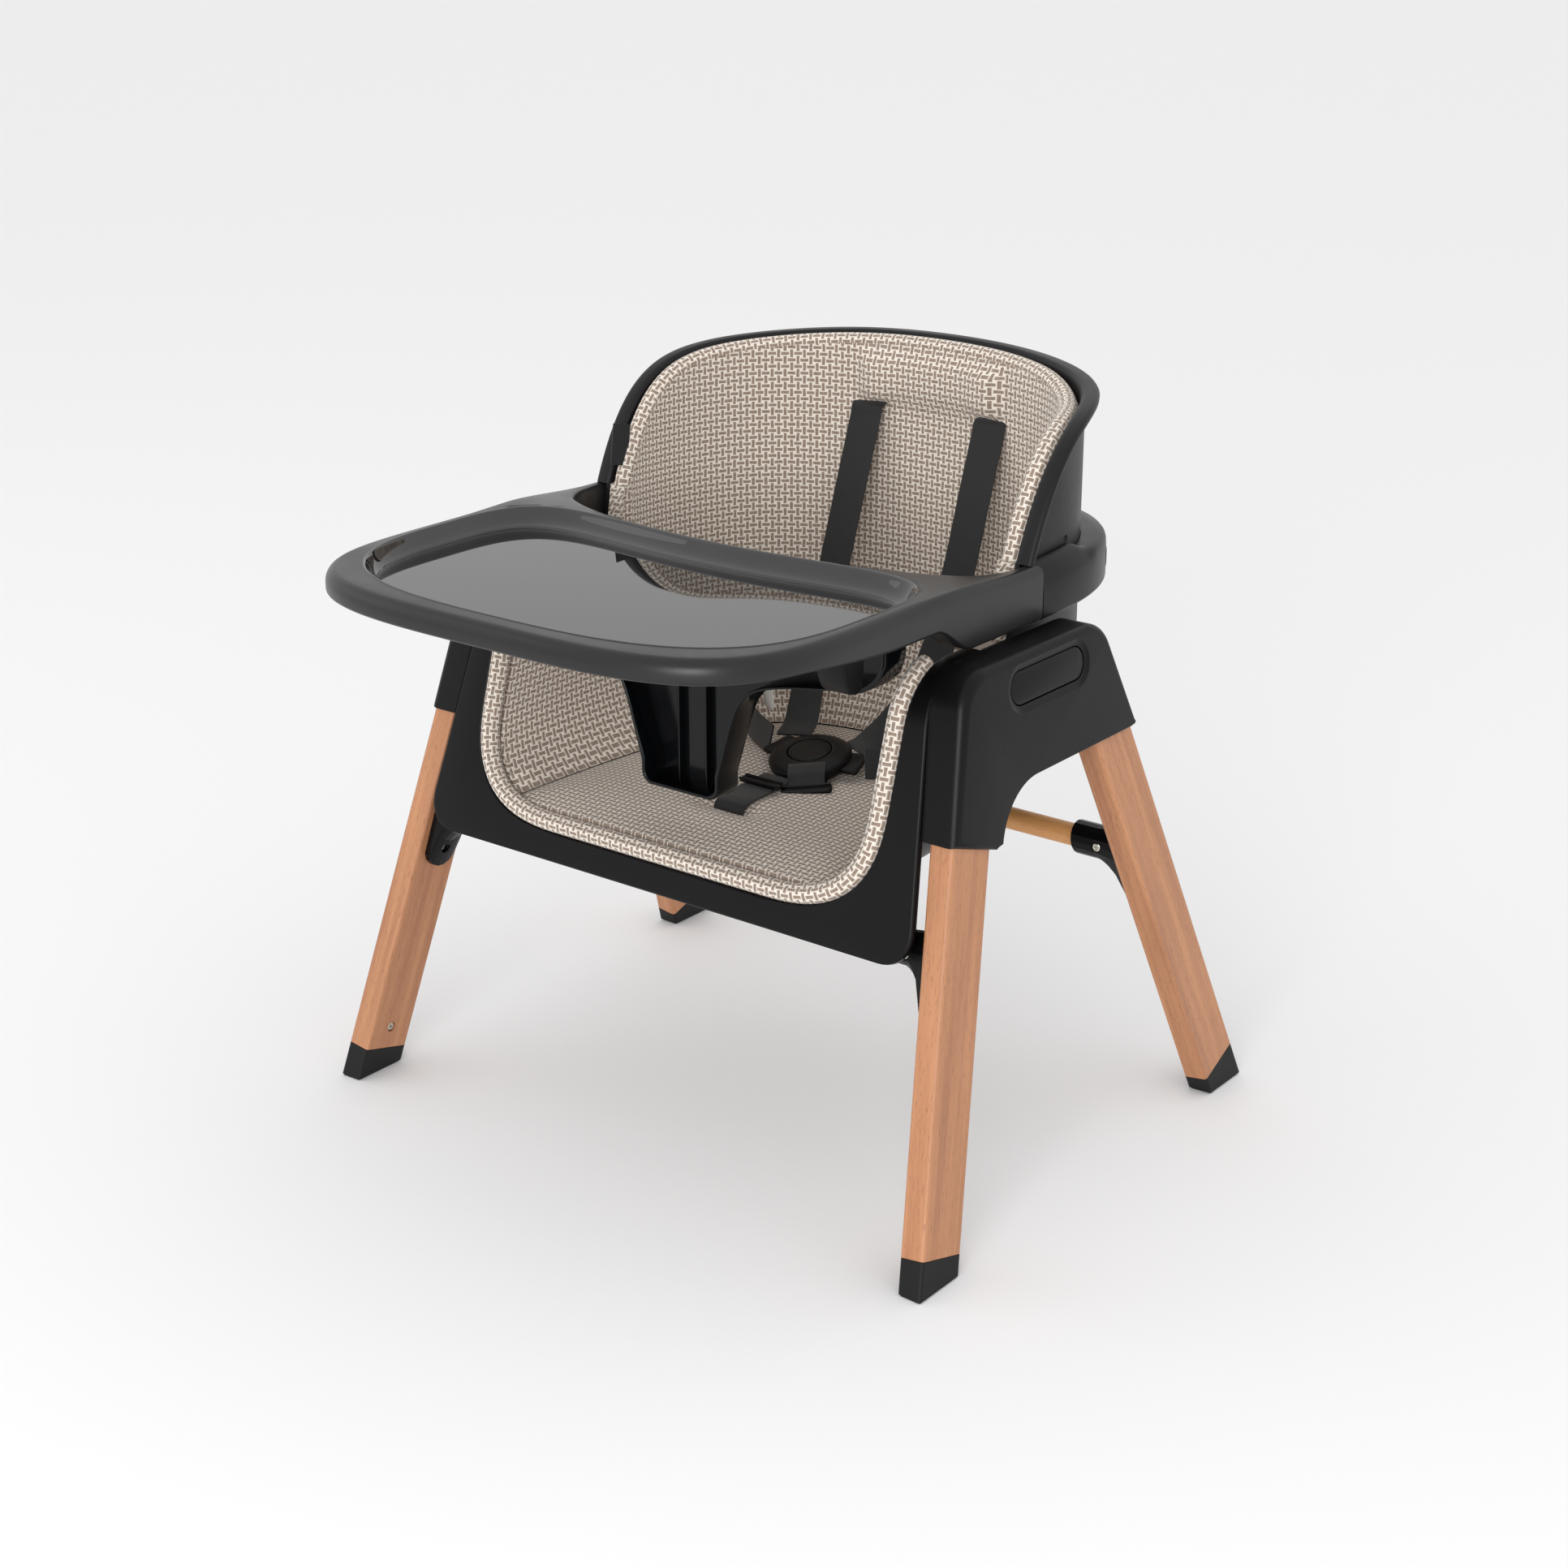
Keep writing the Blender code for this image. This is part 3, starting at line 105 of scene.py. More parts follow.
# tray
TRAY_HALF_WIDTH = 0.1900
TRAY_FRONT_Y = -0.2870
TRAY_MIDDLE_Y = -0.1370
TRAY_BACK_Y = -0.0525
TRAY_EXPONENT = 3.6
TRAY_LOW_Z = 0.3980
TRAY_FRONT_LOW_Z = 0.4054
TRAY_CROWN_Z = 0.4210
TRAY_ARM_INNER = 0.1790
TRAY_ARM_LOW_Z = 0.3787
TRAY_ARM_TOP_Z = 0.4165
WELL_FLOOR_Z = 0.4095
WELL_HALF_WIDTH = 0.1785
WELL_FRONT_Y = -0.2695
WELL_BACK_INSET = 0.0052
WELL_SIDE_SLOPE = 0.0075
WELL_FRONT_SLOPE = 0.0080
WELL_BACK_SLOPE = 0.0153
WELL_FRONT_EXPONENT = 2.9
WELL_BACK_EXPONENT = 3.8

# crotch post
POST_FRONT_Y = -0.1000
POST_BACK_Y = -0.0770
POST_HALF_WIDTH = 0.0330
POST_LOW_Z = 0.2580
POST_TOP_Z = 0.3997
POST_SKIRT_Z = 0.3570
POST_SKIRT_END = 0.1680
POST_FLARE = (
    (0.0395, 0.2960), (0.0450, 0.3140), (0.0510, 0.3280), (0.0600, 0.3380),
    (0.0740, 0.3445), (0.0950, 0.3495), (0.1280, 0.3550),
)

# padding
SEAT_EDGE_Z = 0.2270
SEAT_CROWN_Z = 0.2315
PAD_THICKNESS = 0.0130
PAD_BACKING = 0.0042
PAD_GAP = 0.0010
WING_FOOT_Z = 0.3640
BINDING_INSET = 0.0075
ROLL_RADIUS = 0.0066

# harness
WEBBING_WIDTH = 0.0260
SHOULDER_WIDTH = 0.0270
WEBBING_THICKNESS = 0.0014
LAP_WIDTH = 0.0220
LAP_ACROSS = (0, 0.25, 1)
SLOT_X = 0.0536
SLOT_Z = 0.4680
CROTCH_Y = -0.0475
BUCKLE_CENTRE = Vector((0.004, 0.040, 0.2438))
BUCKLE_TILT = math.radians(12)
BUCKLE_RADIUS = 0.0300
BUCKLE_TURN = math.radians(32)

WEAVE_PERIOD = 0.0096

# studio and viewpoint
FLOOR_HALF_SIZE = 14.0
CAMERA_LENS_MM = 60.416
CAMERA_AZIMUTH = math.radians(37.81)
CAMERA_ELEVATION = math.radians(20.366)
CAMERA_DISTANCE = 1.8568
CAMERA_TARGET = Vector((0, 0.0146 + SHIFT_Y, 0.2303))


# ---------------------------------------------------------------- node materials
def put(tree, kind, *inputs, **settings):
    """Adds a node, links or sets its first inputs in order, and returns it."""
    made = tree.nodes.new(kind)
    for key, value in settings.items():
        setattr(made, key, value)
    for socket, value in zip(made.inputs, inputs):
        if isinstance(value, bpy.types.NodeSocket):
            tree.links.new(value, socket)
        elif value is not None:
            socket.default_value = value
    return made


def sums(tree, operation, *inputs):
    """Output of one math node."""
    return put(tree, "ShaderNodeMath", *inputs, operation=operation).outputs[0]


def blended(tree, share, first, second):
    """Mix of two colours or sockets."""
    mix = tree.nodes.new("ShaderNodeMix")
    mix.data_type = "RGBA"
    for name, value in (("Factor", share), ("A", first), ("B", second)):
        socket = mix.inputs[name]
        if isinstance(value, bpy.types.NodeSocket):
            tree.links.new(value, socket)
        else:
            socket.default_value = value if isinstance(value, float) else (*value, 1)
    return mix.outputs["Result"]


def noise(tree, place, scale, detail=3.0, roughness=0.5):
    """Value of a noise texture."""
    made = put(tree, "ShaderNodeTexNoise")
    tree.links.new(place, made.inputs["Vector"])
    made.inputs["Scale"].default_value = scale
    made.inputs["Detail"].default_value = detail
    made.inputs["Roughness"].default_value = roughness
    return made.outputs[0]


def spread(tree, value, low, high, out_low, out_high):
    """Maps one range of a value onto another."""
    made = put(tree, "ShaderNodeMapRange", value, low, high, out_low, out_high)
    return made.outputs[0]


def bumped(tree, height, strength, distance):
    """Normal bent by a height."""
    made = put(tree, "ShaderNodeBump")
    made.inputs["Strength"].default_value = strength
    made.inputs["Distance"].default_value = distance
    tree.links.new(height, made.inputs["Height"])
    return made.outputs[0]


def new_material(name, **constants):
    """Principled material with constants on its named sockets."""
    made = bpy.data.materials.new(name)
    made.use_nodes = True
    tree = made.node_tree
    shader = tree.nodes["Principled BSDF"]
    for key, value in constants.items():
        shader.inputs[key.replace("_", " ")].default_value = value
    return made, tree, shader


def object_place(tree):
    return put(tree, "ShaderNodeTexCoord").outputs["Object"]


def plastic(name, colour, roughness, grain=900.0, bump=0.18, uneven=0.06, sheen=0.25):
    """Moulded plastic: fine spark-eroded grain, with slow patches of more and less sheen."""
    made, tree, shader = new_material(name, IOR=1.49)
    shader.inputs["Specular IOR Level"].default_value = sheen
    place = object_place(tree)
    patches = noise(tree, place, 14.0)
    darker = tuple(c * 0.82 for c in colour)
    tree.links.new(blended(tree, patches, darker, colour), shader.inputs["Base Color"])
    low = roughness - uneven
    high = roughness + uneven
    tree.links.new(spread(tree, patches, 0.3, 0.7, low, high), shader.inputs["Roughness"])
    if bump:
        height = noise(tree, place, grain, 2.0)
        tree.links.new(bumped(tree, height, bump, 0.0004), shader.inputs["Normal"])
    return made


def timber(name, turn, light, dark, pore, fineness=1.0):
    """Lacquered laminate: long streaks, narrow growth lines and short open pores along Z."""
    made, tree, shader = new_material(name, IOR=1.5, Coat_Weight=0.12, Coat_Roughness=0.3)
    mapping = put(tree, "ShaderNodeMapping", object_place(tree), (0, 0, 0), turn, (1, 1, 1))
    mapping.vector_type = "TEXTURE"
    place = mapping.outputs[0]

    def stretched(across, along, scale, detail=4.0):
        squeezed = put(tree, "ShaderNodeMapping", place, (0, 0, 0), (0, 0, 0), (across, across, along))
        return noise(tree, squeezed.outputs[0], scale * fineness, detail, 0.6)

    streaks = stretched(1.0, 0.035, 150.0)
    lines = stretched(1.0, 0.02, 620.0, 2.0)
    pores = stretched(1.0, 0.09, 1500.0, 1.0)
    tone = blended(tree, spread(tree, streaks, 0.32, 0.68, 0.0, 1.0), dark, light)
    tone = blended(tree, spread(tree, lines, 0.52, 0.72, 0.0, 0.45), tone, dark)
    tone = blended(tree, spread(tree, pores, 0.60, 0.70, 0.0, 0.55), tone, pore)
    tree.links.new(tone, shader.inputs["Base Color"])
    tree.links.new(spread(tree, streaks, 0.3, 0.7, 0.42, 0.55), shader.inputs["Roughness"])
    tree.links.new(bumped(tree, pores, 0.25, 0.0003), shader.inputs["Normal"])
    return made


def box_distance(tree, across, along, half_width, half_length):
    """Distance outside a dash, from the distances to its middle lines."""
    wide = sums(tree, "SUBTRACT", across, half_width)
    tall = sums(tree, "SUBTRACT", along, half_length)
    return sums(tree, "MAXIMUM", wide, tall)


def basket_weave(name, taupe, cream, period=WEAVE_PERIOD):
    """Taupe dashes, upright and level by turns, each outlined by a cream yarn."""
    made, tree, shader = new_material(name, Roughness=0.92, Sheen_Weight=0.25, Sheen_Roughness=0.5)
    shader.inputs["Specular IOR Level"].default_value = 0.2
    cloth = put(tree, "ShaderNodeUVMap", uv_map="cloth").outputs[0]
    wobble = noise(tree, cloth, 160.0, 2.0)
    split = put(tree, "ShaderNodeSeparateXYZ", cloth)
    shifted = spread(tree, wobble, 0.3, 0.7, -0.00022, 0.00022)

    def to_middle(axis):
        moved = sums(tree, "ADD", split.outputs[axis], shifted)
        turns = sums(tree, "DIVIDE", moved, period)
        centred = sums(tree, "SUBTRACT", sums(tree, "FRACT", turns), 0.5)
        far = sums(tree, "MULTIPLY", sums(tree, "ABSOLUTE", centred), period)
        return far, sums(tree, "SUBTRACT", period / 2, far)

    u_far, u_near = to_middle(0)
    v_far, v_near = to_middle(1)
    narrow = period * 0.118
    long = period * 0.305
    dashes = [
        box_distance(tree, u_near, v_near, narrow, long),
        box_distance(tree, u_far, v_far, narrow, long),
        box_distance(tree, u_far, v_near, long, narrow),
        box_distance(tree, u_near, v_far, long, narrow),
    ]
    nearest = dashes[0]
    for other in dashes[1:]:
        nearest = sums(tree, "MINIMUM", nearest, other)
    outside = spread(tree, nearest, -0.00022, 0.00022, 0.0, 1.0)

    yarn = noise(tree, cloth, 2600.0, 2.0)
    tone = noise(tree, cloth, 420.0, 2.0)
    dash_tone = blended(tree, spread(tree, tone, 0.3, 0.7, 0.0, 1.0), tuple(c * 0.74 for c in taupe), taupe)
    line_tone = blended(tree, spread(tree, yarn, 0.35, 0.65, 0.0, 1.0), tuple(c * 0.80 for c in cream), cream)
    tree.links.new(blended(tree, outside, dash_tone, line_tone), shader.inputs["Base Color"])

    crown = spread(tree, nearest, -0.0011, 0.0005, 1.0, 0.35)
    line = spread(tree, nearest, 0.0001, 0.0006, 0.0, 0.75)
    relief = sums(tree, "MAXIMUM", crown, line)
    height = sums(tree, "ADD", relief, sums(tree, "MULTIPLY", yarn, 0.35))
    tree.links.new(bumped(tree, height, 0.6, 0.0006), shader.inputs["Normal"])
    return made


def webbing(name, colour):
    """Close woven band: fine ribs along it, crossed by the weft."""
    made, tree, shader = new_material(name, Roughness=0.72, Sheen_Weight=0.25, Sheen_Roughness=0.4)
    cloth = put(tree, "ShaderNodeUVMap", uv_map="cloth").outputs[0]
    split = put(tree, "ShaderNodeSeparateXYZ", cloth)
    ribs = sums(tree, "SINE", sums(tree, "MULTIPLY", split.outputs[0], 2 * math.pi / 0.0011))
    wefts = sums(tree, "SINE", sums(tree, "MULTIPLY", split.outputs[1], 2 * math.pi / 0.0007))
    fuzz = noise(tree, cloth, 900.0, 3.0)
    height = sums(tree, "ADD", sums(tree, "MULTIPLY", ribs, 0.5), sums(tree, "MULTIPLY", wefts, 0.3))
    height = sums(tree, "ADD", height, fuzz)
    lighter = tuple(c * 1.7 for c in colour)
    tone = blended(tree, spread(tree, fuzz, 0.35, 0.65, 0.0, 1.0), colour, lighter)
    tree.links.new(tone, shader.inputs["Base Color"])
    tree.links.new(bumped(tree, height, 0.35, 0.0003), shader.inputs["Normal"])
    return made


def metal(name, colour, roughness):
    """Plated steel with faint marks."""
    made, tree, shader = new_material(name, Metallic=1.0)
    place = object_place(tree)
    marks = noise(tree, place, 700.0, 4.0)
    tree.links.new(blended(tree, marks, tuple(c * 0.7 for c in colour), colour), shader.inputs["Base Color"])
    dullness = spread(tree, marks, 0.3, 0.7, roughness - 0.08, roughness + 0.1)
    tree.links.new(dullness, shader.inputs["Roughness"])
    return made


def make_materials():
    """Every finish that more than one maker uses."""
    return {
        "satin": plastic("satin_black_plastic", (0.0036, 0.0032, 0.0036), 0.36, sheen=0.19),
        "grained": plastic("grained_black_plastic", (0.0080, 0.0073, 0.0079), 0.42, grain=1500.0, bump=0.35),
        "tray": plastic("tray_satin_plastic", (0.0125, 0.0125, 0.0130), 0.33, bump=0.08, sheen=0.40),
        "dark": plastic("dark_inner_plastic", (0.0024, 0.0028, 0.0036), 0.16, bump=0.0),
        "gloss": plastic(
            "gloss_black_plastic", (0.0100, 0.0095, 0.0100), 0.02, bump=0.0, uneven=0.006, sheen=0.9,
        ),
        "rubber": plastic("foot_rubber_black", (0.0085, 0.0085, 0.0090), 0.55, grain=1200.0, bump=0.25),
        "weave": basket_weave("taupe_basket_weave", (0.330, 0.255, 0.200), (0.92, 0.84, 0.75)),
        "webbing": webbing("black_webbing", (0.0042, 0.0042, 0.0048)),
        "label": webbing("white_label_tape", (0.62, 0.61, 0.58)),
        "screw": metal("zinc_screw", (0.75, 0.72, 0.66), 0.28),
        "dowel": timber(
            "dowel_beech", (0, math.pi / 2, 0), (0.74, 0.37, 0.135), (0.62, 0.29, 0.095), (0.42, 0.18, 0.065),
            0.8,
        ),
    }


# ---------------------------------------------------------------- curves and outlines
def smooth(t):
    """Eases from 0 to 1."""
    t = min(max(t, 0.0), 1.0)
    return t * t * (3 - 2 * t)


def power(value, exponent):
    """Power that keeps the sign."""
    return math.copysign(abs(value) ** exponent, value)


def arc(centre, radius, start_deg, end_deg, steps):
    """Points along a circular arc."""
    angles = [math.radians(start_deg + (end_deg - start_deg) * i / steps) for i in range(steps + 1)]
    return [(centre[0] + radius * math.cos(a), centre[1] + radius * math.sin(a)) for a in angles]


def circle(radius, steps):
    """Points round a circle."""
    turns = (2 * math.pi * i / steps for i in range(steps))
    return [(radius * math.cos(a), radius * math.sin(a)) for a in turns]


def rounded_rectangle(width, height, radius, steps):
    """Closed outline of a rectangle with round corners."""
    points = []
    for quarter, (sx, sy) in enumerate(((1, 1), (-1, 1), (-1, -1), (1, -1))):
        middle = (sx * (width / 2 - radius), sy * (height / 2 - radius))
        points += arc(middle, radius, quarter * 90, quarter * 90 + 90, steps)
    return points


def stadium(centre, length, height, steps=16):
    """Closed outline of an oval with straight sides."""
    half = length / 2 - height / 2
    right = arc((centre[0] + half, centre[1]), height / 2, -90, 90, steps)
    left = arc((centre[0] - half, centre[1]), height / 2, 90, 270, steps)
    return right + left


def run_lengths(path):
    """Distance from a path's start to each of its points."""
    return np.r_[0, np.cumsum(np.linalg.norm(np.diff(path, axis=0), axis=1))]


def around(outline):
    """Distance round a closed outline to each of its points, and back to the first."""
    return run_lengths(np.array(outline + outline[:1]))


def resampled(points, count):
    """Points evenly spaced along a path."""
    path = np.array([tuple(p) for p in points], float)
    lengths = run_lengths(path)
    wanted = np.linspace(0, lengths[-1], count)
    return np.stack([np.interp(wanted, lengths, path[:, i]) for i in range(path.shape[1])], 1)


def spline(points, count):
    """A smooth curve through the points, evenly spaced."""
    control = [Vector(p) for p in points]
    control = [control[0] * 2 - control[1]] + control + [control[-1] * 2 - control[-2]]
    dense = []
    for a, b, c, d in zip(control, control[1:], control[2:], control[3:]):
        for step in range(24):
            t = step / 24
            dense.append(0.5 * (b * 2 + (c - a) * t + (a * 2 - b * 5 + c * 4 - d) * t ** 2
                                + (b * 3 - a - c * 3 + d) * t ** 3))
    dense.append(control[-2])
    return [Vector(p) for p in resampled(dense, count)]


def offset_loop(points, distances):
    """A closed plan outline moved inwards by a distance given for each point."""
    flat = np.array([(p[0], p[1]) for p in points], float)
    before = flat - np.roll(flat, 1, axis=0)
    after = np.roll(flat, -1, axis=0) - flat
    before /= np.maximum(np.linalg.norm(before, axis=1), 1e-12)[:, None]
    after /= np.maximum(np.linalg.norm(after, axis=1), 1e-12)[:, None]
    area = np.sum(flat[:, 0] * np.roll(flat[:, 1], -1) - np.roll(flat[:, 0], -1) * flat[:, 1])
    turn = 1 if area > 0 else -1
    first = np.stack([-before[:, 1], before[:, 0]], 1) * turn
    second = np.stack([-after[:, 1], after[:, 0]], 1) * turn
    bisector = first + second
    bisector /= np.maximum(np.linalg.norm(bisector, axis=1), 1e-12)[:, None]
    reach = np.asarray(distances, float) / np.maximum(np.sum(bisector * first, axis=1), 0.5)
    return flat + bisector * reach[:, None]


# ---------------------------------------------------------------- meshes
class Shape:
    """Vertices, faces and the cloth coordinates of each face's corners."""

    def __init__(self):
        self.points = []
        self.faces = []
        self.cloth = []

    def loft(self, rings, caps=True, cloth=None):
        """Joins matching closed rings with quads, and closes both ends where caps is true."""
        base = len(self.points)
        count = len(rings[0])
        for ring in rings:
            self.points.extend(tuple(p) for p in ring)
        for row in range(len(rings) - 1):
            for i in range(count):
                j = (i + 1) % count
                low = base + row * count
                self.faces.append((low + i, low + j, low + count + j, low + count + i))
                if cloth:
                    corners = ((row, i), (row, i + 1), (row + 1, i + 1), (row + 1, i))
                    self.cloth.append([cloth(r, c) for r, c in corners])
        if caps:
            self.cap(list(range(base, base + count))[::-1])
            self.cap(list(range(base + (len(rings) - 1) * count, base + len(rings) * count)))
        return self

    def cap(self, ring):
        """Closes a ring of vertex numbers with one face."""
        self.faces.append(tuple(ring))
        self.cloth.append([(self.points[i][0], self.points[i][2]) for i in ring])


def new_object(name, shape):
    """The shape as a linked mesh object in world coordinates, with its faces turned outwards."""
    mesh = bpy.data.meshes.new(name)
    mesh.from_pydata([(x, y + SHIFT_Y, z) for x, y, z in shape.points], [], shape.faces)
    if shape.cloth and len(shape.cloth) == len(shape.faces):
        layer = mesh.uv_layers.new(name="cloth")
        corners = [uv for face in shape.cloth for uv in face]
        layer.uv.foreach_set("vector", np.array(corners, np.float32).ravel())
    bm = bmesh.new()
    bm.from_mesh(mesh)
    bmesh.ops.recalc_face_normals(bm, faces=bm.faces)
    bm.to_mesh(mesh)
    bm.free()
    made = bpy.data.objects.new(name, mesh)
    bpy.context.scene.collection.objects.link(made)
    return made


def make_piece(name, shape, material, replaces=(), body=FRAME_BODY, sharp=38):
    """The shape as an object that rides on a body and stands for CAD nodes."""
    made = new_object(name, shape)
    made.data.shade_smooth()
    made.data.set_sharp_from_angle(angle=math.radians(sharp))
    made.data.materials.append(material)
    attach(made, body)
    if replaces:
        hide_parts(*replaces)
    return made


def cut_out(target, shape):
    """Takes a shape away from a finished piece."""
    tool = new_object("cutter", shape)
    step = target.modifiers.new("cut", "BOOLEAN")
    step.operation = "DIFFERENCE"
    step.solver = "EXACT"
    step.object = tool
    bpy.context.view_layer.update()
    graph = bpy.context.evaluated_depsgraph_get()
    result = bpy.data.meshes.new_from_object(target.evaluated_get(graph))
    target.modifiers.clear()
    target.data = result
    bpy.data.objects.remove(tool)


def cross_axes(axis):
    """Two directions square to an axis and to each other."""
    helper = Vector((0, 0, 1)) if abs(axis.z) < 0.9 else Vector((1, 0, 0))
    across = axis.cross(helper).normalized()
    return across, across.cross(axis)


def turned(shape, centre, direction, profile, steps=48):
    """Adds a solid turned about an axis, from (distance along it, radius) pairs."""
    along = Vector(direction).normalized()
    across, up = cross_axes(along)
    rings = []
    for distance, radius in profile:
        middle = Vector(centre) + along * distance
        rings.append([middle + across * a + up * b for a, b in circle(radius, steps)])
    return shape.loft(rings)


def side_rings(side, layers):
    """Rings on planes parallel to the housing's faces, from (plane, (y, z) outline) layers."""
    rings = []
    for plane, outline in layers:
        rings.append([(side * (plane - LEAN * z), y, z) for y, z in outline])
    return rings


def quarter(radius, steps=6):
    """(inset, rise) along a rounded edge, from the side face to the top face."""
    angles = [math.pi / 2 * i / steps for i in range(steps + 1)]
    return [(radius * (1 - math.cos(a)), radius * math.sin(a)) for a in angles]


def swept(path, outward, section):
    """Sweeps a closed (outward, upward) section along a path whose outward directions are given."""
    rings = []
    lengths = [0.0]
    for i, here in enumerate(path):
        ahead = path[min(i + 1, len(path) - 1)]
        behind = path[max(i - 1, 0)]
        along = (ahead - behind).normalized()
        out = (outward[i] - along * outward[i].dot(along)).normalized()
        up = along.cross(out)
        rings.append([here + out * a + up * b for a, b in section])
        if i:
            lengths.append(lengths[-1] + (here - behind).length)
    girth = around(section)
    return Shape().loft(rings, cloth=lambda row, column: (lengths[row], girth[column]))


# ---------------------------------------------------------------- timber, feet and screws
def dress_timber():
    """Grain along each leg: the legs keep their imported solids."""
    light, dark, pore = (0.535, 0.248, 0.118), (0.370, 0.155, 0.070), (0.220, 0.085, 0.040)
    for end, rake, lean in (("front", PANEL_RAKE, LEAN), ("rear", REAR_RAKE, REAR_LEAN)):
        for side_name, side in SIDES.items():
            turn = Vector((-side * lean, rake, 1)).to_track_quat("Z", "Y").to_euler()
            grain = timber(f"leg_laminate_{end}_{side_name}", tuple(turn), light, dark, pore)
            wear(f"leg_{end}_{side_name}", grain)


def wear(node, material, bevel=0.0):
    """Gives a CAD node its finish, and softer edges where a bevel is stated."""
    piece = frame["nodes"][node]
    piece.data.materials.clear()
    piece.data.materials.append(material)
    if bevel:
        step = piece.modifiers.new("soft_edges", "BEVEL")
        step.width = bevel
        step.segments = 3
        step.limit_method = "ANGLE"
        step.angle_limit = math.radians(35)


def screw_places():
    """(node, head centre, direction into the work) of each screw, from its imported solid."""
    places = []
    for node, piece in frame["nodes"].items():
        if "screw" not in node:
            continue
        points = np.array([v.co[:] for v in piece.data.vertices])
        centre = points.mean(axis=0)
        _, _, axes = np.linalg.svd(points - centre)
        axis = axes[0]
        along = (points - centre) @ axis
        across = np.linalg.norm(points - centre - np.outer(along, axis), axis=1)
        if across[along > 0].mean() > across[along < 0].mean():
            axis = -axis
            along = -along
        places.append((node, Vector(centre + axis * along.min()), Vector(axis), along.max() - along.min()))
    return places


def make_screws(materials):
    """Pan heads with a cross recess."""
    steps = 48
    for node, head, axis, length in screw_places():
        across, up = cross_axes(axis)

        def ring(depth, radius, cross=0.0):
            middle = head + axis * depth - Vector((0, SHIFT_Y, 0))
            points = []
            for i in range(steps):
                angle = 2 * math.pi * i / steps
                reach = radius * (1 - cross * (1 - abs(math.cos(2 * angle)) ** 3))
                points.append(middle + across * reach * math.cos(angle) + up * reach * math.sin(angle))
            return points

        rings = [
            ring(0.0013, 0.0004), ring(0.0013, 0.0017, 0.72), ring(0.0002, 0.0019, 0.62),
            ring(0.0, 0.0022), ring(0.0002, 0.0028), ring(0.0006, 0.0032), ring(0.0012, 0.0034),
            ring(0.0022, 0.0034), ring(0.0022, 0.0020), ring(length, 0.0020),
        ]
        make_piece(f"{node}_fine", Shape().loft(rings), materials["screw"], (node,))


def make_crossbars(materials):
    """Round dowels with eased ends."""
    for end in ("front", "rear"):
        low, high = (Vector(c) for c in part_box(f"crossbar_{end}"))
        middle = (low + high) / 2 - Vector((0, SHIFT_Y, 0))
        radius = (high.z - low.z) / 2
        half = (high.x - low.x) / 2
        ends = ((half, radius * 0.9), (half - DOWEL_EASE, radius))
        profile = [(-run, width) for run, width in ends] + [(run, width) for run, width in reversed(ends)]
        shape = turned(Shape(), middle, (1, 0, 0), profile, 64)
        make_piece(f"dowel_{end}", shape, materials["dowel"], (f"crossbar_{end}",))


# ---------------------------------------------------------------- side housings
def housing_profile():
    """Side view (y, z) of the housing with the radius of its outer edge at each point."""
    points = [(-0.1056, 0.2731, 0.0062)]
    points += [(y, z, 0.0068) for y, z in arc((-0.0550, 0.3450), 0.0300, 164, 90, 18)]
    points += [(-0.0100, 0.3748, 0.0060), (0.030, 0.3748, 0.0050)]
    points += [(y, z, 0.0045) for y, z in arc((0.0640, 0.3468), 0.0280, 90, 22, 14)]
    points += [(0.1140, 0.2999, 0.0030), (0.1148, 0.2975, 0.0016), (0.1130, 0.2958, 0.0014)]
    points += [(0.1080, 0.2952, 0.0014)]
    points += [(y, z, 0.0014) for y, z in arc((-0.0080, 0.2475), 0.0475, 90, 163, 18)]
    points += [(-0.0588, 0.2608, 0.0014), (-0.0606, 0.2599, 0.0016)]
    return points


def button_centre():
    """Middle (y, z) of the release button."""
    return (0.0137, 0.3538)


def make_housing(side_name, materials):
    """Soft-edged housing with an oval dish pressed in round its button."""
    side = SIDES[side_name]
    profile = housing_profile()
    outline = [(y, z) for y, z, _ in profile]
    radii = np.array([r for _, _, r in profile])
    layers = [(HOUSING_INNER, outline), (HOUSING_INNER + 0.004, outline)]
    for inset_share, rise_share in quarter(1.0, 8):
        moved = offset_loop(outline, radii * inset_share)
        layers.append((HOUSING_OUTER, moved, rise_share))
    rings = side_rings(side, layers[:2])
    for _, moved, rise_share in layers[2:]:
        ring = []
        for (y, z), radius in zip(moved, radii):
            plane = HOUSING_OUTER - radius * (1 - rise_share)
            ring.append((side * (plane - LEAN * z), y, z))
        rings.append(ring)
    shell = make_piece(
        f"housing_{side_name}", Shape().loft(rings), materials["satin"], (f"side_housing_{side_name}",),
    )

    steps = 8
    dish = []
    for i in range(steps + 1):
        share = i / steps
        grow = 0.0010 + 0.0130 * (1 - share)
        depth = -0.0004 + 0.0019 * smooth(share)
        oval = stadium(button_centre(), 0.0866 + grow, 0.0222 + grow, 20)
        dish.append((HOUSING_OUTER - depth, oval))
    start = (HOUSING_OUTER + 0.003, stadium(button_centre(), 0.1006, 0.0362, 20))
    floor = (HOUSING_OUTER - 0.0105, stadium(button_centre(), 0.0876, 0.0232, 20))
    cut_out(shell, Shape().loft(side_rings(side, [start] + dish + [floor])))

    face = HOUSING_OUTER - 0.0016
    oval = stadium(button_centre(), 0.0862, 0.0218, 20)
    layers = [(face - 0.0056, oval), (face - 0.0008, oval)]
    layers.append((face - 0.0002, offset_loop(oval, [0.0003] * len(oval))))
    layers.append((face, offset_loop(oval, [0.0009] * len(oval))))
    make_piece(
        f"button_{side_name}", Shape().loft(side_rings(side, layers)), materials["satin"],
        (f"release_button_{side_name}",), body=f"release_button_{side_name}",
    )


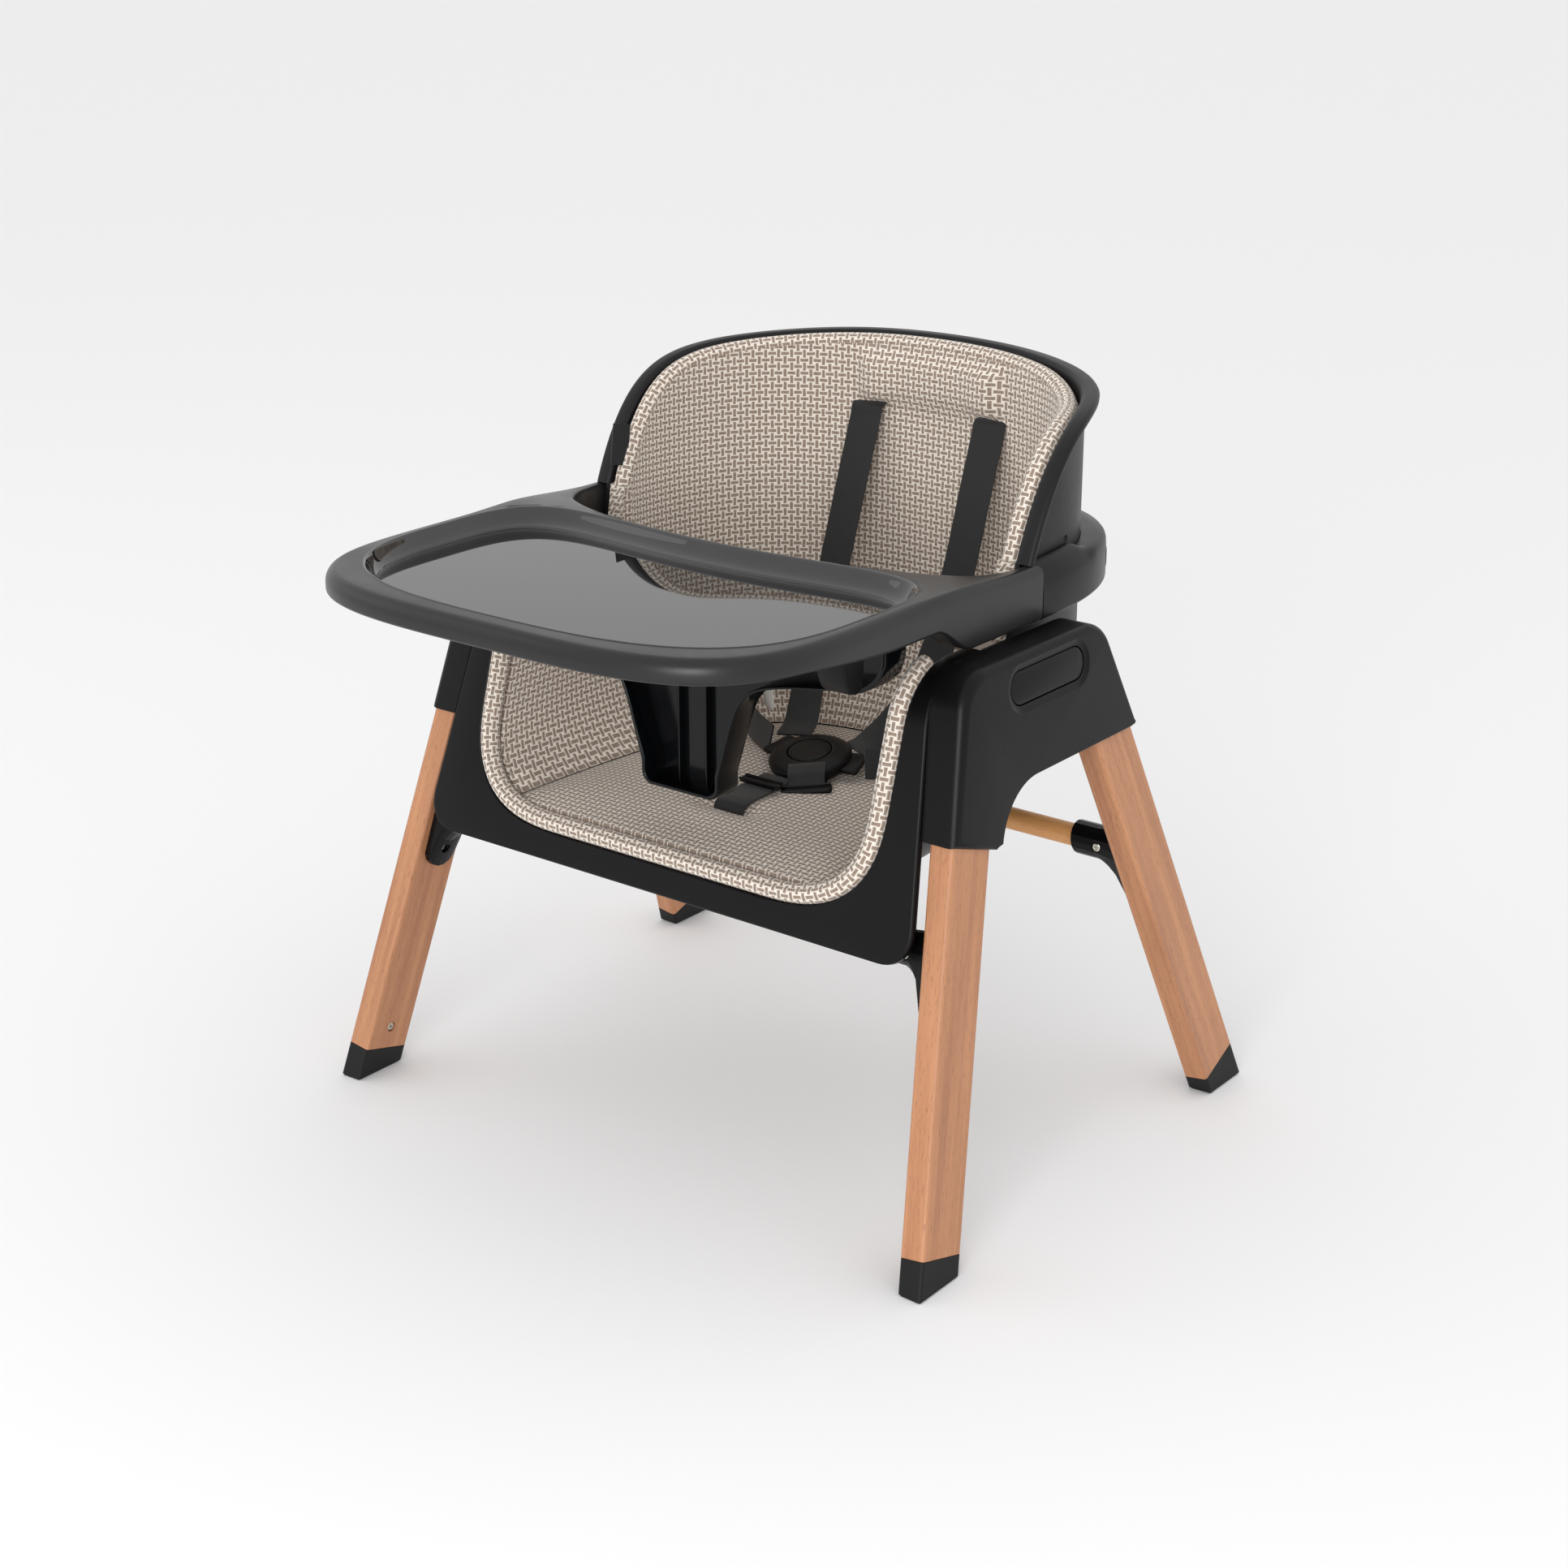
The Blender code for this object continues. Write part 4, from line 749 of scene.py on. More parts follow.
# ---------------------------------------------------------------- bucket
def bucket_plan(
    angle, outset=0.0, half_width=BUCKET_HALF_WIDTH, back_y=BUCKET_BACK_Y, exponent=BUCKET_EXPONENT,
):
    """(x, y) of the bucket's curve: angle -90 is the right side, 0 behind, 90 the left side."""
    x = power(math.sin(angle), 2 / exponent) * (half_width + outset)
    behind = power(math.cos(angle), 2 / exponent) * (back_y + outset - BUCKET_CURVE_Y)
    return x, BUCKET_CURVE_Y + behind


def rim_height(angle):
    """Height of the bucket's lip: high behind, sweeping down to the front."""
    across = abs(math.sin(angle)) ** (2 / BUCKET_EXPONENT)
    behind = abs(math.cos(angle)) ** (2 / BUCKET_EXPONENT)
    crest = RIM_BACK_Z - RIM_CORNER_DROP * across ** 2
    return crest - (crest - RIM_FRONT_Z) * (1 - behind) ** RIM_CURVE_POWER


def fine_angles(steps=4000):
    """Angles from -90 to 90 degrees, crowded at both ends, where the superellipse starts steeply."""
    turns = (math.cos(math.pi * i / steps) for i in range(steps + 1))
    return [-math.pi / 2 + math.pi * (0.5 - 0.5 * power(turn, 0.45)) for turn in turns]


def evenly(angles, path, count):
    """Angles that space a path evenly, from a finer path and its angles."""
    lengths = run_lengths(np.array(path))
    return list(np.interp(np.linspace(0, lengths[-1], count), lengths, angles))


def rim_angles(count):
    """Angles that space the rim curve evenly."""
    fine = fine_angles()
    return evenly(fine, [(*bucket_plan(a), rim_height(a)) for a in fine], count)


def outward_at(angle):
    """Horizontal direction away from the bucket's plan curve."""
    step = 0.004
    ahead = Vector((*bucket_plan(min(angle + step, math.pi / 2)), 0))
    behind = Vector((*bucket_plan(max(angle - step, -math.pi / 2)), 0))
    tangent = (ahead - behind).normalized()
    return Vector((-tangent.y, tangent.x, 0))


def stations(count=181):
    """Places round the bucket from front right to front left: (side, share) or (None, angle)."""
    shares = (1.0, 0.85, 0.7, 0.55, 0.4, 0.25, 0.1)
    curve = [(None, angle) for angle in rim_angles(count)]
    return [(-1, share) for share in shares] + curve + [(1, share) for share in reversed(shares)]


def corner_size(station):
    """Top height and reach of the rounded lower corner: it fits the panel's opening, then grows."""
    side, value = station
    along = -value
    if side is None:
        along = min(power(math.cos(value), 2 / BUCKET_EXPONENT) / CORNER_GROWTH_SHARE, 1.0)
    growth = 0.5 + 0.5 * math.sin(math.pi / 2 * along)
    return [front + (back - front) * growth for front, back in zip(FRONT_CORNER, BACK_CORNER)]


def corner_inset(station, height):
    """How far the rounded lower corner draws the bucket's plan curve in at a height."""
    top, reach = corner_size(station)
    share = min(max((top - height) / (top - BUCKET_BASE_Z), 0.0), 1.0)
    return reach * (1 - (1 - share ** BUCKET_EXPONENT) ** (1 / BUCKET_EXPONENT))


def corner_profile(station, steps=16):
    """(outset, height) of the rounded lower corner, outside then inside, from its foot upwards."""
    top, reach = corner_size(station)
    outer, inner = [], []
    for i in range(steps + 1):
        turn = math.pi / 2 * (1 - i / steps)
        outset = -reach * (1 - power(math.cos(turn), 2 / BUCKET_EXPONENT))
        height = top - (top - BUCKET_BASE_Z) * power(math.sin(turn), 2 / BUCKET_EXPONENT)
        outer.append((outset, height))
        inner.append((outset - BUCKET_WALL * math.cos(turn), height + BUCKET_WALL * math.sin(turn)))
    return outer, inner


def bucket_point(station, outset, height, front_y):
    """A point of the bucket's plan curve: straight sides from the panel, then round the back."""
    side, value = station
    if side is None:
        return (*bucket_plan(value, outset), height)
    y = BUCKET_CURVE_Y + (front_y - BUCKET_CURVE_Y) * value
    return side * (BUCKET_HALF_WIDTH + outset), y, height


def make_shell(materials):
    """Bucket wall and pan, with its rolled lip as one bead that keeps its section round the rim."""
    angles = rim_angles(181)
    wall, pan = [], []
    for station in stations():
        outer, inner = corner_profile(station)
        tops = (0.340, 0.346, 0.354, 0.362, 0.3680)
        if station[0] is None:
            top = rim_height(station[1]) - 0.004
            tops = (0.345, 0.37, 0.40, max(top - 0.02, 0.405), top)
        profile = outer + [(0.0, z) for z in tops] + [(-BUCKET_WALL, z) for z in reversed(tops)] + inner[::-1]
        wall.append([bucket_point(station, outset, z, panel_back_y(z) + 0.001) for outset, z in profile])
        edge = 0.004 - corner_size(station)[1]
        pan.append(bucket_point(station, edge, BUCKET_BASE_Z, panel_back_y(BUCKET_BASE_Z) + 0.001))
    shape = Shape().loft(wall)
    shape.loft([[(x, y, z + rise) for x, y, z in pan] for rise in (0.0002, BUCKET_WALL - 0.0002)])

    lip = [(-0.0032, -0.0130), (-0.0030, -0.0030), (-0.0018, -0.0006), (0.0006, 0.0)]
    lip += [(RIM_FLARE - 0.0030, 0.0), (RIM_FLARE - 0.0012, -0.0005), (RIM_FLARE - 0.0002, -0.0020)]
    lip += [(RIM_FLARE - 0.0004, -0.0042), (RIM_FLARE - 0.0022, -0.0068), (0.0040, -0.0098)]
    lip += [(0.0014, -0.0135), (0.0004, -0.0170), (-0.0002, -0.0200), (-0.0028, -0.0200)]
    path = [Vector((*bucket_plan(a), rim_height(a))) for a in angles]
    outward = [outward_at(a) for a in angles]
    path = [path[0] + (path[0] - path[1]).normalized() * RIM_FOOT] + path
    path.append(path[-1] + (path[-1] - path[-2]).normalized() * RIM_FOOT)
    outward = outward[:1] + outward + outward[-1:]
    shell = make_piece("bucket_shell", shape, materials["grained"], ("seat_shell",), sharp=50)
    make_piece("bucket_rim", swept(path, outward, lip), materials["grained"], sharp=50)
    for side in SIDES.values():
        cut_out(shell, wall_pocket(side))


def wall_pocket(side):
    """Cutter for the finger slot pressed into the foot of each wing, just above the armrest."""
    outline = stadium((0.0745, 0.4192), 0.0520, 0.0062, 10)
    rings = []
    for depth, grow in ((0.0060, 1.0), (0.0, 1.0), (-0.0011, 0.94)):
        ring = []
        for y, z in outline:
            share = max(y - BUCKET_CURVE_Y, 0.0) / (BUCKET_BACK_Y - BUCKET_CURVE_Y)
            x = BUCKET_HALF_WIDTH * (1 - share ** BUCKET_EXPONENT) ** (1 / BUCKET_EXPONENT)
            ring.append((side * (x + depth), 0.0745 + (y - 0.0745) * grow, 0.4192 + (z - 0.4192) * grow))
        rings.append(ring)
    return Shape().loft(rings)


# ---------------------------------------------------------------- front panel
def panel_front_y(height):
    """Front face of the panel below its bend."""
    return PANEL_FOOT_Y + PANEL_RAKE * height


def panel_bend_centre():
    """Axis (y, z) that the panel bends round."""
    tilt = math.atan(PANEL_RAKE)
    forward = PANEL_BEND_RADIUS * math.cos(tilt)
    return panel_front_y(PANEL_BEND_Z) + forward, PANEL_BEND_Z - PANEL_BEND_RADIUS * math.sin(tilt)


def panel_back_y(height, clearance=0.0):
    """Back face of the panel, or a plane behind it."""
    behind = (PANEL_THICKNESS + clearance) * math.sqrt(1 + PANEL_RAKE ** 2)
    if height <= PANEL_BEND_Z:
        return panel_front_y(height) + behind
    centre_y, centre_z = panel_bend_centre()
    radius = PANEL_BEND_RADIUS - PANEL_THICKNESS - clearance
    return centre_y - math.sqrt(max(radius ** 2 - (height - centre_z) ** 2, 0.0))


def panel_surface(x, run, depth):
    """The point of the panel so far up its face and so deep behind it."""
    upright = Vector((0, PANEL_RAKE, 1)).normalized()
    if run <= PANEL_BEND_Z:
        return Vector((x, panel_front_y(run), run)) + Vector((0, upright.z, -upright.y)) * depth
    tilt = math.atan(PANEL_RAKE)
    angle = min(tilt + (run - PANEL_BEND_Z) / PANEL_BEND_RADIUS, math.pi / 2)
    level = max(run - PANEL_BEND_Z - PANEL_BEND_RADIUS * (math.pi / 2 - tilt), 0.0)
    centre_y, centre_z = panel_bend_centre()
    reach = PANEL_BEND_RADIUS - depth
    return Vector((x, centre_y - reach * math.cos(angle) + level, centre_z + reach * math.sin(angle)))


def top_runs(steps=14):
    """Places down the panel's curled top, measured along its face."""
    bend = PANEL_BEND_RADIUS * (math.pi / 2 - math.atan(PANEL_RAKE))
    return [PANEL_BEND_Z + bend + 0.020] + [PANEL_BEND_Z + bend * i / steps for i in range(steps, -1, -1)]


def opening_outline(steps=26):
    """The U-shaped opening as (x, run), down its right side and up its left side."""
    half = [(OPENING_HALF_WIDTH, run) for run in top_runs()] + [(OPENING_HALF_WIDTH, 0.3150)]
    for i in range(steps + 1):
        angle = math.pi / 2 * i / steps
        x = 0.0895 + 0.0850 * power(math.cos(angle), 2 / BUCKET_EXPONENT)
        run = 0.2905 - (0.2905 - OPENING_LOW_Z) * power(math.sin(angle), 2 / BUCKET_EXPONENT)
        half.append((x, run))
    half.append((0.030, OPENING_LOW_Z))
    return [(-x, run) for x, run in half] + [(x, run) for x, run in reversed(half)]


def panel_outline(steps=26):
    """The panel's outer edge, matched point for point with the opening."""
    def edge(run):
        return PANEL_EDGE - LEAN * panel_surface(0, run, 0).z

    straight = 12
    half = [(edge(run), run) for run in top_runs() + [0.3150]]
    half += [(edge(run), run) for run in np.linspace(0.305, PANEL_LOW_Z + PANEL_CORNER + 0.004, straight)]
    corner = steps - straight - 2
    for i in range(corner + 1):
        turn = math.pi / 2 * i / corner
        low = PANEL_LOW_Z + PANEL_CORNER * (1 - math.sin(turn))
        half.append((edge(low) - PANEL_CORNER * (1 - math.cos(turn)), low))
    half += [(0.150, PANEL_LOW_Z), (0.100, PANEL_LOW_Z), (0.030, PANEL_LOW_Z)]
    return [(-x, run) for x, run in half] + [(x, run) for x, run in reversed(half)]


def make_panel(materials):
    """Front panel with softly rounded edges, curling back over its top."""
    inner, outer = opening_outline(), panel_outline()
    radius = 0.0022
    rings = []
    for near, far in zip(inner, outer):
        start, end = np.array(near), np.array(far)
        length = np.linalg.norm(end - start)
        along = (end - start) / length
        section = [(inset, radius - rise) for inset, rise in quarter(radius, 5)]
        section += [(length - s, depth) for s, depth in reversed(section)]
        section += [(length, PANEL_THICKNESS - 0.0006), (length - 0.0006, PANEL_THICKNESS)]
        section += [(0.0006, PANEL_THICKNESS), (0.0, PANEL_THICKNESS - 0.0006)]
        rings.append([panel_surface(*(start + along * s), depth) for s, depth in section])
    make_piece("front_panel_shell", Shape().loft(rings), materials["satin"], ("front_panel",), sharp=50)


# ---------------------------------------------------------------- armrest ring
def ring_plan(angle):
    """(x, y) of the ring's outer plan curve."""
    return bucket_plan(angle, 0.0, RING_HALF_WIDTH, RING_BACK_Y, RING_EXPONENT)


def ring_angles(count):
    """Angles that space the ring evenly, behind its seams with the tray."""
    angles = [a for a in fine_angles() if ring_plan(a)[1] > SEAM_Y + 0.001]
    return evenly(angles, [ring_plan(a) for a in angles], count)


def ring_section(outer, inner):
    """Ring section from its inner bottom, round the outside, to the ledge against the bucket."""
    out = Vector((outer[0] - inner[0], outer[1] - inner[1]))
    width = out.length
    out.normalize()
    behind = smooth((outer[1] - 0.112) / 0.014)
    inner_top = 0.4160 - 0.0052 * behind
    crease = RING_SHOULDER_Z + 0.0028 * behind
    profile = [(0.0, RING_LOW_Z), (width - 0.0030, RING_LOW_Z)]
    profile += [(width - 0.0030 + 0.0030 * math.sin(a), RING_LOW_Z + 0.0030 - 0.0030 * math.cos(a))
                for a in np.linspace(0.2, math.pi / 2, 5)]
    profile += [(width - 0.0002, crease - 0.0090), (width - 0.0006, crease - 0.0030)]
    profile += [(width - 0.0014, crease - 0.0006), (width - 0.0030, crease + 0.0012)]
    profile += [(width * 0.55, crease + (inner_top - crease) * 0.50 + 0.0008)]
    profile += [(width * 0.25, crease + (inner_top - crease) * 0.82 + 0.0006), (0.0, inner_top)]
    return [(inner[0] + out.x * a, inner[1] + out.y * a, z) for a, z in profile]


def make_ring(materials):
    """Armrests and their bridge behind the seat, with a recessed push pad at each side."""
    rings = []
    for angle in ring_angles(161):
        x, y = bucket_plan(angle, 0.0004)
        rings.append(ring_section(ring_plan(angle), (x, max(y, SEAM_Y))))
    for end, sign in ((0, -1), (len(rings), 1)):
        outer = (sign * RING_HALF_WIDTH, SEAM_Y + 0.0008)
        inner = (sign * (BUCKET_HALF_WIDTH + 0.0004), SEAM_Y - 0.0030)
        rings.insert(end, ring_section(outer, inner))
    ring = make_piece("armrest", Shape().loft(rings), materials["satin"], ("armrest_ring",), sharp=48)
    for side_name, side in SIDES.items():
        make_ring_button(side_name, side, ring, materials)


def make_ring_button(side_name, side, ring, materials):
    """Recessed push pad in the ring, in a shallow rounded window."""
    low, high = (Vector(c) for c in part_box(f"armrest_button_{side_name}"))
    press = next(j for j in frame["joints"] if j["name"] == f"armrest_button_{side_name}_press")
    normal = -Vector(press["axis"])
    tangent = Vector((-normal.y, normal.x, 0))
    points = np.array([v.co[:] for v in frame["nodes"][f"armrest_button_{side_name}"].data.vertices])
    depth = points @ np.array(normal)
    middle = Vector(points.mean(axis=0)) - Vector((0, SHIFT_Y, 0))
    face = middle + normal * (depth.max() - depth.mean())
    run = points @ np.array(tangent)
    width, height = run.max() - run.min(), high.z - low.z

    def pad(layers):
        shape = Shape()
        rings = []
        for rise, inset in layers:
            outline = rounded_rectangle(width - 2 * inset, height - 2 * inset, 0.0038 - inset / 2, 6)
            rings.append([face + normal * rise + tangent * a + Vector((0, 0, b)) for a, b in outline])
        return shape.loft(rings)

    cut_out(ring, pad([(0.010, -0.0012), (0.0006, -0.0009), (-0.0004, -0.0005), (-0.0078, -0.0005)]))
    make_piece(
        f"armrest_pad_{side_name}", pad([(-0.0048, 0.0), (-0.0008, 0.0), (-0.0002, 0.0004), (0.0, 0.0011)]),
        materials["satin"], (f"armrest_button_{side_name}",), body=f"armrest_button_{side_name}",
    )


# ---------------------------------------------------------------- tray
def tray_outline():
    """Plan outline of the tray with its two arms, counter-clockwise from the left arm's end."""
    front = []
    for i in range(121):
        angle = math.pi * i / 120
        x = TRAY_HALF_WIDTH * power(math.cos(angle), 2 / TRAY_EXPONENT)
        y = TRAY_MIDDLE_Y - (TRAY_MIDDLE_Y - TRAY_FRONT_Y) * power(math.sin(angle), 2 / TRAY_EXPONENT)
        front.append((x, y))
    back = [(-TRAY_ARM_INNER, 0.036), (-0.1780, 0.0200), (-0.1745, 0.0030), (-0.1650, -0.0135)]
    back += [(-0.1500, -0.0240), (-0.1277, -0.0345), (-0.0900, -0.0452), (-0.0450, -0.0508)]
    curve = back + [(0.0, TRAY_BACK_Y)] + [(-x, y) for x, y in reversed(back)]
    inner = [tuple(p[:2]) for p in spline([(x, y, 0) for x, y in curve], 150)]
    end = SEAM_Y - 0.0004
    right = [(-TRAY_HALF_WIDTH, y) for y in np.linspace(TRAY_MIDDLE_Y + 0.004, end, 60)]
    left = [(TRAY_HALF_WIDTH, y) for y in np.linspace(end, TRAY_MIDDLE_Y + 0.004, 60)]
    right_end = [(-TRAY_ARM_INNER, end - 0.0045)]
    left_end = [(TRAY_ARM_INNER, end - 0.0045)]
    return front + right + right_end + inner + left_end + left


def plan_loop(half_width, front_y, back_inset, front_exponent, back_exponent, steps=60, count=220):
    """Closed plan curve under the tray: superellipse in front, the tray's own hollow back behind."""
    points = []
    for i in range(4 * steps + 1):
        angle = math.pi * i / (2 * steps)
        front = i <= 2 * steps
        exponent = front_exponent if front else back_exponent
        x = half_width * power(math.cos(angle), 2 / exponent)
        back_y = TRAY_BACK_Y + 0.0165 * (x / 0.130) ** 2 - back_inset
        reach = (front_y if front else back_y) - TRAY_MIDDLE_Y
        points.append((x, TRAY_MIDDLE_Y + reach * abs(math.sin(angle)) ** (2 / exponent)))
    return [tuple(p) for p in resampled(points, count + 1)[:-1]]


def well_loop(share):
    """Plan curve of the well: share 0 at its ridge, 1 at the edge of its floor."""
    return plan_loop(
        WELL_HALF_WIDTH - WELL_SIDE_SLOPE * share, WELL_FRONT_Y + WELL_FRONT_SLOPE * share,
        WELL_BACK_INSET + WELL_BACK_SLOPE * share, WELL_FRONT_EXPONENT, WELL_BACK_EXPONENT,
    )


def tray_top(_, y):
    """Height of the tray's crown, lower along the arms."""
    return TRAY_CROWN_Z - (TRAY_CROWN_Z - TRAY_ARM_TOP_Z) * smooth((y + 0.060) / 0.085)


def tray_low(x, y):
    """Height of the lower edge: higher in front, and sweeping down into the arms."""
    front = (TRAY_FRONT_LOW_Z - TRAY_LOW_Z) * smooth((-0.110 - y) / 0.110)
    arm = smooth((y + 0.076) / 0.040) * smooth((abs(x) - 0.158) / 0.014)
    return TRAY_LOW_Z + front - (TRAY_LOW_Z - TRAY_ARM_LOW_Z) * arm


def filled(shape, loops, heights, flip):
    """Triangulates between closed loops already in the shape, given as lists of vertex numbers."""
    flat, owners, edges = [], [], []
    for loop in loops:
        base = len(flat)
        for k, index in enumerate(loop):
            flat.append(Vector(shape.points[index][:2]))
            owners.append(index)
            edges.append((base + k, base + (k + 1) % len(loop)))
    grid_step = 0.007
    outer = np.array([tuple(v) for v in flat[: len(loops[0])]])
    inner = [np.array([tuple(shape.points[i][:2]) for i in loop]) for loop in loops[1:]]
    for x in np.arange(-0.186, 0.187, grid_step):
        for y in np.arange(-0.284, 0.040, grid_step):
            if inside(x, y, outer, 0.0035) and not any(inside(x, y, hole, -0.0035) for hole in inner):
                flat.append(Vector((x, y)))
                owners.append(None)
    verts, _, faces, origin, _, _ = delaunay_2d_cdt(flat, edges, [], 1, 1e-7)
    numbers = []
    for vert, sources in zip(verts, origin):
        known = next((owners[s] for s in sources if owners[s] is not None), None)
        if known is None:
            known = len(shape.points)
            shape.points.append((vert.x, vert.y, heights(vert.x, vert.y)))
        numbers.append(known)
    for face in faces:
        middle = sum((verts[i] for i in face), Vector((0, 0))) / len(face)
        if any(inside(middle.x, middle.y, hole, 0.0) for hole in inner):
            continue
        if not inside(middle.x, middle.y, outer, 0.0):
            continue
        order = [numbers[i] for i in face]
        shape.faces.append(tuple(reversed(order)) if flip else tuple(order))
        shape.cloth.append([(0.0, 0.0)] * len(order))


def inside(x, y, loop, margin):
    """Whether a point is inside a loop by at least margin, or within -margin of it."""
    ax, ay = loop[:, 0], loop[:, 1]
    bx, by = np.roll(ax, -1), np.roll(ay, -1)
    crosses = (ay > y) != (by > y)
    with np.errstate(divide="ignore", invalid="ignore"):
        at = (bx - ax) * (y - ay) / (by - ay) + ax
    within = bool(np.sum(crosses & (x < at)) % 2)
    if margin == 0.0:
        return within
    dx, dy = bx - ax, by - ay
    share = np.clip(((x - ax) * dx + (y - ay) * dy) / np.maximum(dx * dx + dy * dy, 1e-16), 0, 1)
    near = float(np.min(np.hypot(ax + share * dx - x, ay + share * dy - y)))
    return within and near > margin if margin > 0 else within or near < -margin


def make_tray(materials):
    """One moulding: rounded rim, arms, a well for the liner and a shallow hollow underside."""
    outline = tray_outline()
    shape = Shape()
    reach = np.array([0.0078 - 0.0040 * smooth((y + 0.110) / 0.060) for _, y in outline])
    rise = np.array([0.0095 - 0.0020 * smooth((y + 0.050) / 0.060) for _, y in outline])
    rings = []
    low_inset = 0.0024
    for share in np.linspace(0.0, 1.0, 5):
        moved = offset_loop(outline, [low_inset * (1 - math.sin(share * math.pi / 2))] * len(outline))
        lift = low_inset * (1 - math.cos(share * math.pi / 2))
        rings.append([(x, y, tray_low(x, y) + lift) for x, y in moved])
    for share in np.linspace(0.0, 1.0, 9):
        angle = share * math.pi / 2
        moved = offset_loop(outline, reach * (1 - math.cos(angle)))
        ring = []
        for (x, y), up, (_, home_y) in zip(moved, rise, outline):
            ring.append((x, y, tray_top(x, home_y) - up * (1 - math.sin(angle))))
        rings.append(ring)
    shape.loft(rings, caps=False)
    count = len(outline)
    bottom = list(range(count))
    top = list(range((len(rings) - 1) * count, len(rings) * count))

    well = ((0.0, TRAY_CROWN_Z), (0.12, 0.4186), (0.30, 0.4140), (0.70, WELL_FLOOR_Z - 0.0022))
    rings = []
    for share, height in well:
        rings.append([(x, y, min(height, tray_top(x, y))) for x, y in well_loop(share)])
    base = len(shape.points)
    count = len(rings[0])
    shape.loft(rings, caps=False)
    shape.cap(list(range(base + (len(well) - 1) * count, base + len(well) * count)))
    filled(shape, [top, list(range(base, base + count))], tray_top, False)

    hollow = plan_loop(TRAY_HALF_WIDTH - 0.012, TRAY_FRONT_Y + 0.012, 0.012, TRAY_EXPONENT, 3.2)
    base = len(shape.points)
    shape.loft([[(x, y, tray_low(x, y)) for x, y in hollow], [(x, y, 0.4062) for x, y in hollow]], caps=False)
    shape.cap(list(range(base + count, base + 2 * count)))
    filled(shape, [bottom, list(range(base, base + count))], tray_low, True)
    shape.cloth = []
    make_piece("tray_moulding", shape, materials["tray"], ("tray_base",), body="tray", sharp=60)


def make_liner(materials):
    """Gloss liner: it starts flush with the rim, dips in a hollow slope and ends in a flat floor."""
    top = (
        (-0.10, 0.4205), (-0.08, 0.4212), (-0.03, 0.4215), (0.04, 0.4214), (0.12, 0.4207), (0.20, 0.4192),
        (0.30, 0.4170),
        (0.42, 0.4148), (0.55, 0.4131), (0.68, 0.4119), (0.80, 0.4111), (0.88, 0.4107), (0.925, 0.4104),
        (0.95, 0.4099), (0.97, 0.4096), (1.0, WELL_FLOOR_Z), (1.03, WELL_FLOOR_Z), (1.1, WELL_FLOOR_Z),
    )
    rings = [[(x, y, z) for x, y in well_loop(share)] for share, z in top]
    under = []
    for share, z in reversed(top):
        thickness = 0.0014 if share > 0 else 0.0004
        under.append([(x, y, z - thickness) for x, y in well_loop(share + 0.012)])
    make_piece(
        "tray_liner_moulding", Shape().loft(under + rings), materials["gloss"], ("tray_liner",), body="liner",
        sharp=60,
    )


# ---------------------------------------------------------------- crotch post and latches
def post_outline(inward):
    """Front view (x, z) of the post, which flares into its T-shaped skirt."""
    half = POST_HALF_WIDTH - inward
    low = POST_LOW_Z + inward
    top = POST_TOP_Z - inward
    skirt = POST_SKIRT_Z + inward
    end = POST_SKIRT_END - inward
    foot_radius = 0.0085 - inward / 2
    points = arc((half - foot_radius, low + foot_radius), foot_radius, -90, 0, 8)
    flare = [(half, low + 0.016, 0)] + [(x - inward * 0.8, z + inward * 0.6, 0) for x, z in POST_FLARE]
    flare += [(end - 0.020, skirt + 0.0005, 0), (end - 0.006, skirt + 0.010, 0), (end, skirt + 0.022, 0)]
    points += [tuple(p[:2]) for p in spline(flare, 48)]
    points += [(end, top)]
    return points + [(-x, z) for x, z in reversed(points)]


def make_post(materials):
    """Channel-shaped post, open to the front, with two low stiffening ribs."""
    wall = 0.0026
    edge = 0.0009

    def ring(inward, y):
        return [(x, y, z) for x, z in post_outline(inward)]

    rings = [
        ring(0.0012, POST_BACK_Y), ring(0.0004, POST_BACK_Y - 0.0004), ring(0.0, POST_BACK_Y - 0.0014),
        ring(0.0, POST_FRONT_Y + edge), ring(edge * 0.3, POST_FRONT_Y + edge * 0.3), ring(edge, POST_FRONT_Y),
        ring(wall - edge, POST_FRONT_Y), ring(wall - edge * 0.3, POST_FRONT_Y + edge * 0.3),
        ring(wall, POST_FRONT_Y + edge), ring(wall, POST_BACK_Y - wall),
    ]
    shape = Shape().loft(rings)
    for x in (-0.0125, 0.0110):
        outline = rounded_rectangle(0.0018, 0.0060, 0.0007, 4)
        middle_y = POST_BACK_Y - 0.0050
        rib = [[(x + a, middle_y + b, z) for a, b in outline] for z in (0.2595, 0.3850)]
        shape.loft(rib)
    make_piece("crotch_post_moulding", shape, materials["dark"], ("crotch_post",), body="tray", sharp=50)


def make_latches(materials):
    """Finger levers under the tray, each a hooked blade with soft edges."""
    for side_name, side in SIDES.items():
        hook = [(-0.1425, 0.3997), (-0.1410, 0.3880), (-0.1375, 0.3760), (-0.1325, 0.3690), (-0.1262, 0.3668)]
        blade = [tuple(p[:2]) for p in spline([(y, z, 0) for y, z in hook], 18)]
        blade += [(-0.1205, 0.3690), (-0.1188, 0.3760), (-0.1183, 0.3997)]
        rings = []
        for x, inset in ((0.1440, 0.0012), (0.1448, 0.0003), (0.1460, 0.0), (0.1640, 0.0), (0.1652, 0.0003),
                         (0.1660, 0.0012)):
            moved = offset_loop(blade, [inset] * len(blade))
            rings.append([(side * x, y, z) for y, z in moved])
        make_piece(
            f"latch_lever_{side_name}", Shape().loft(rings), materials["satin"], (f"tray_latch_{side_name}",),
            body=f"latch_{side_name}",
        )


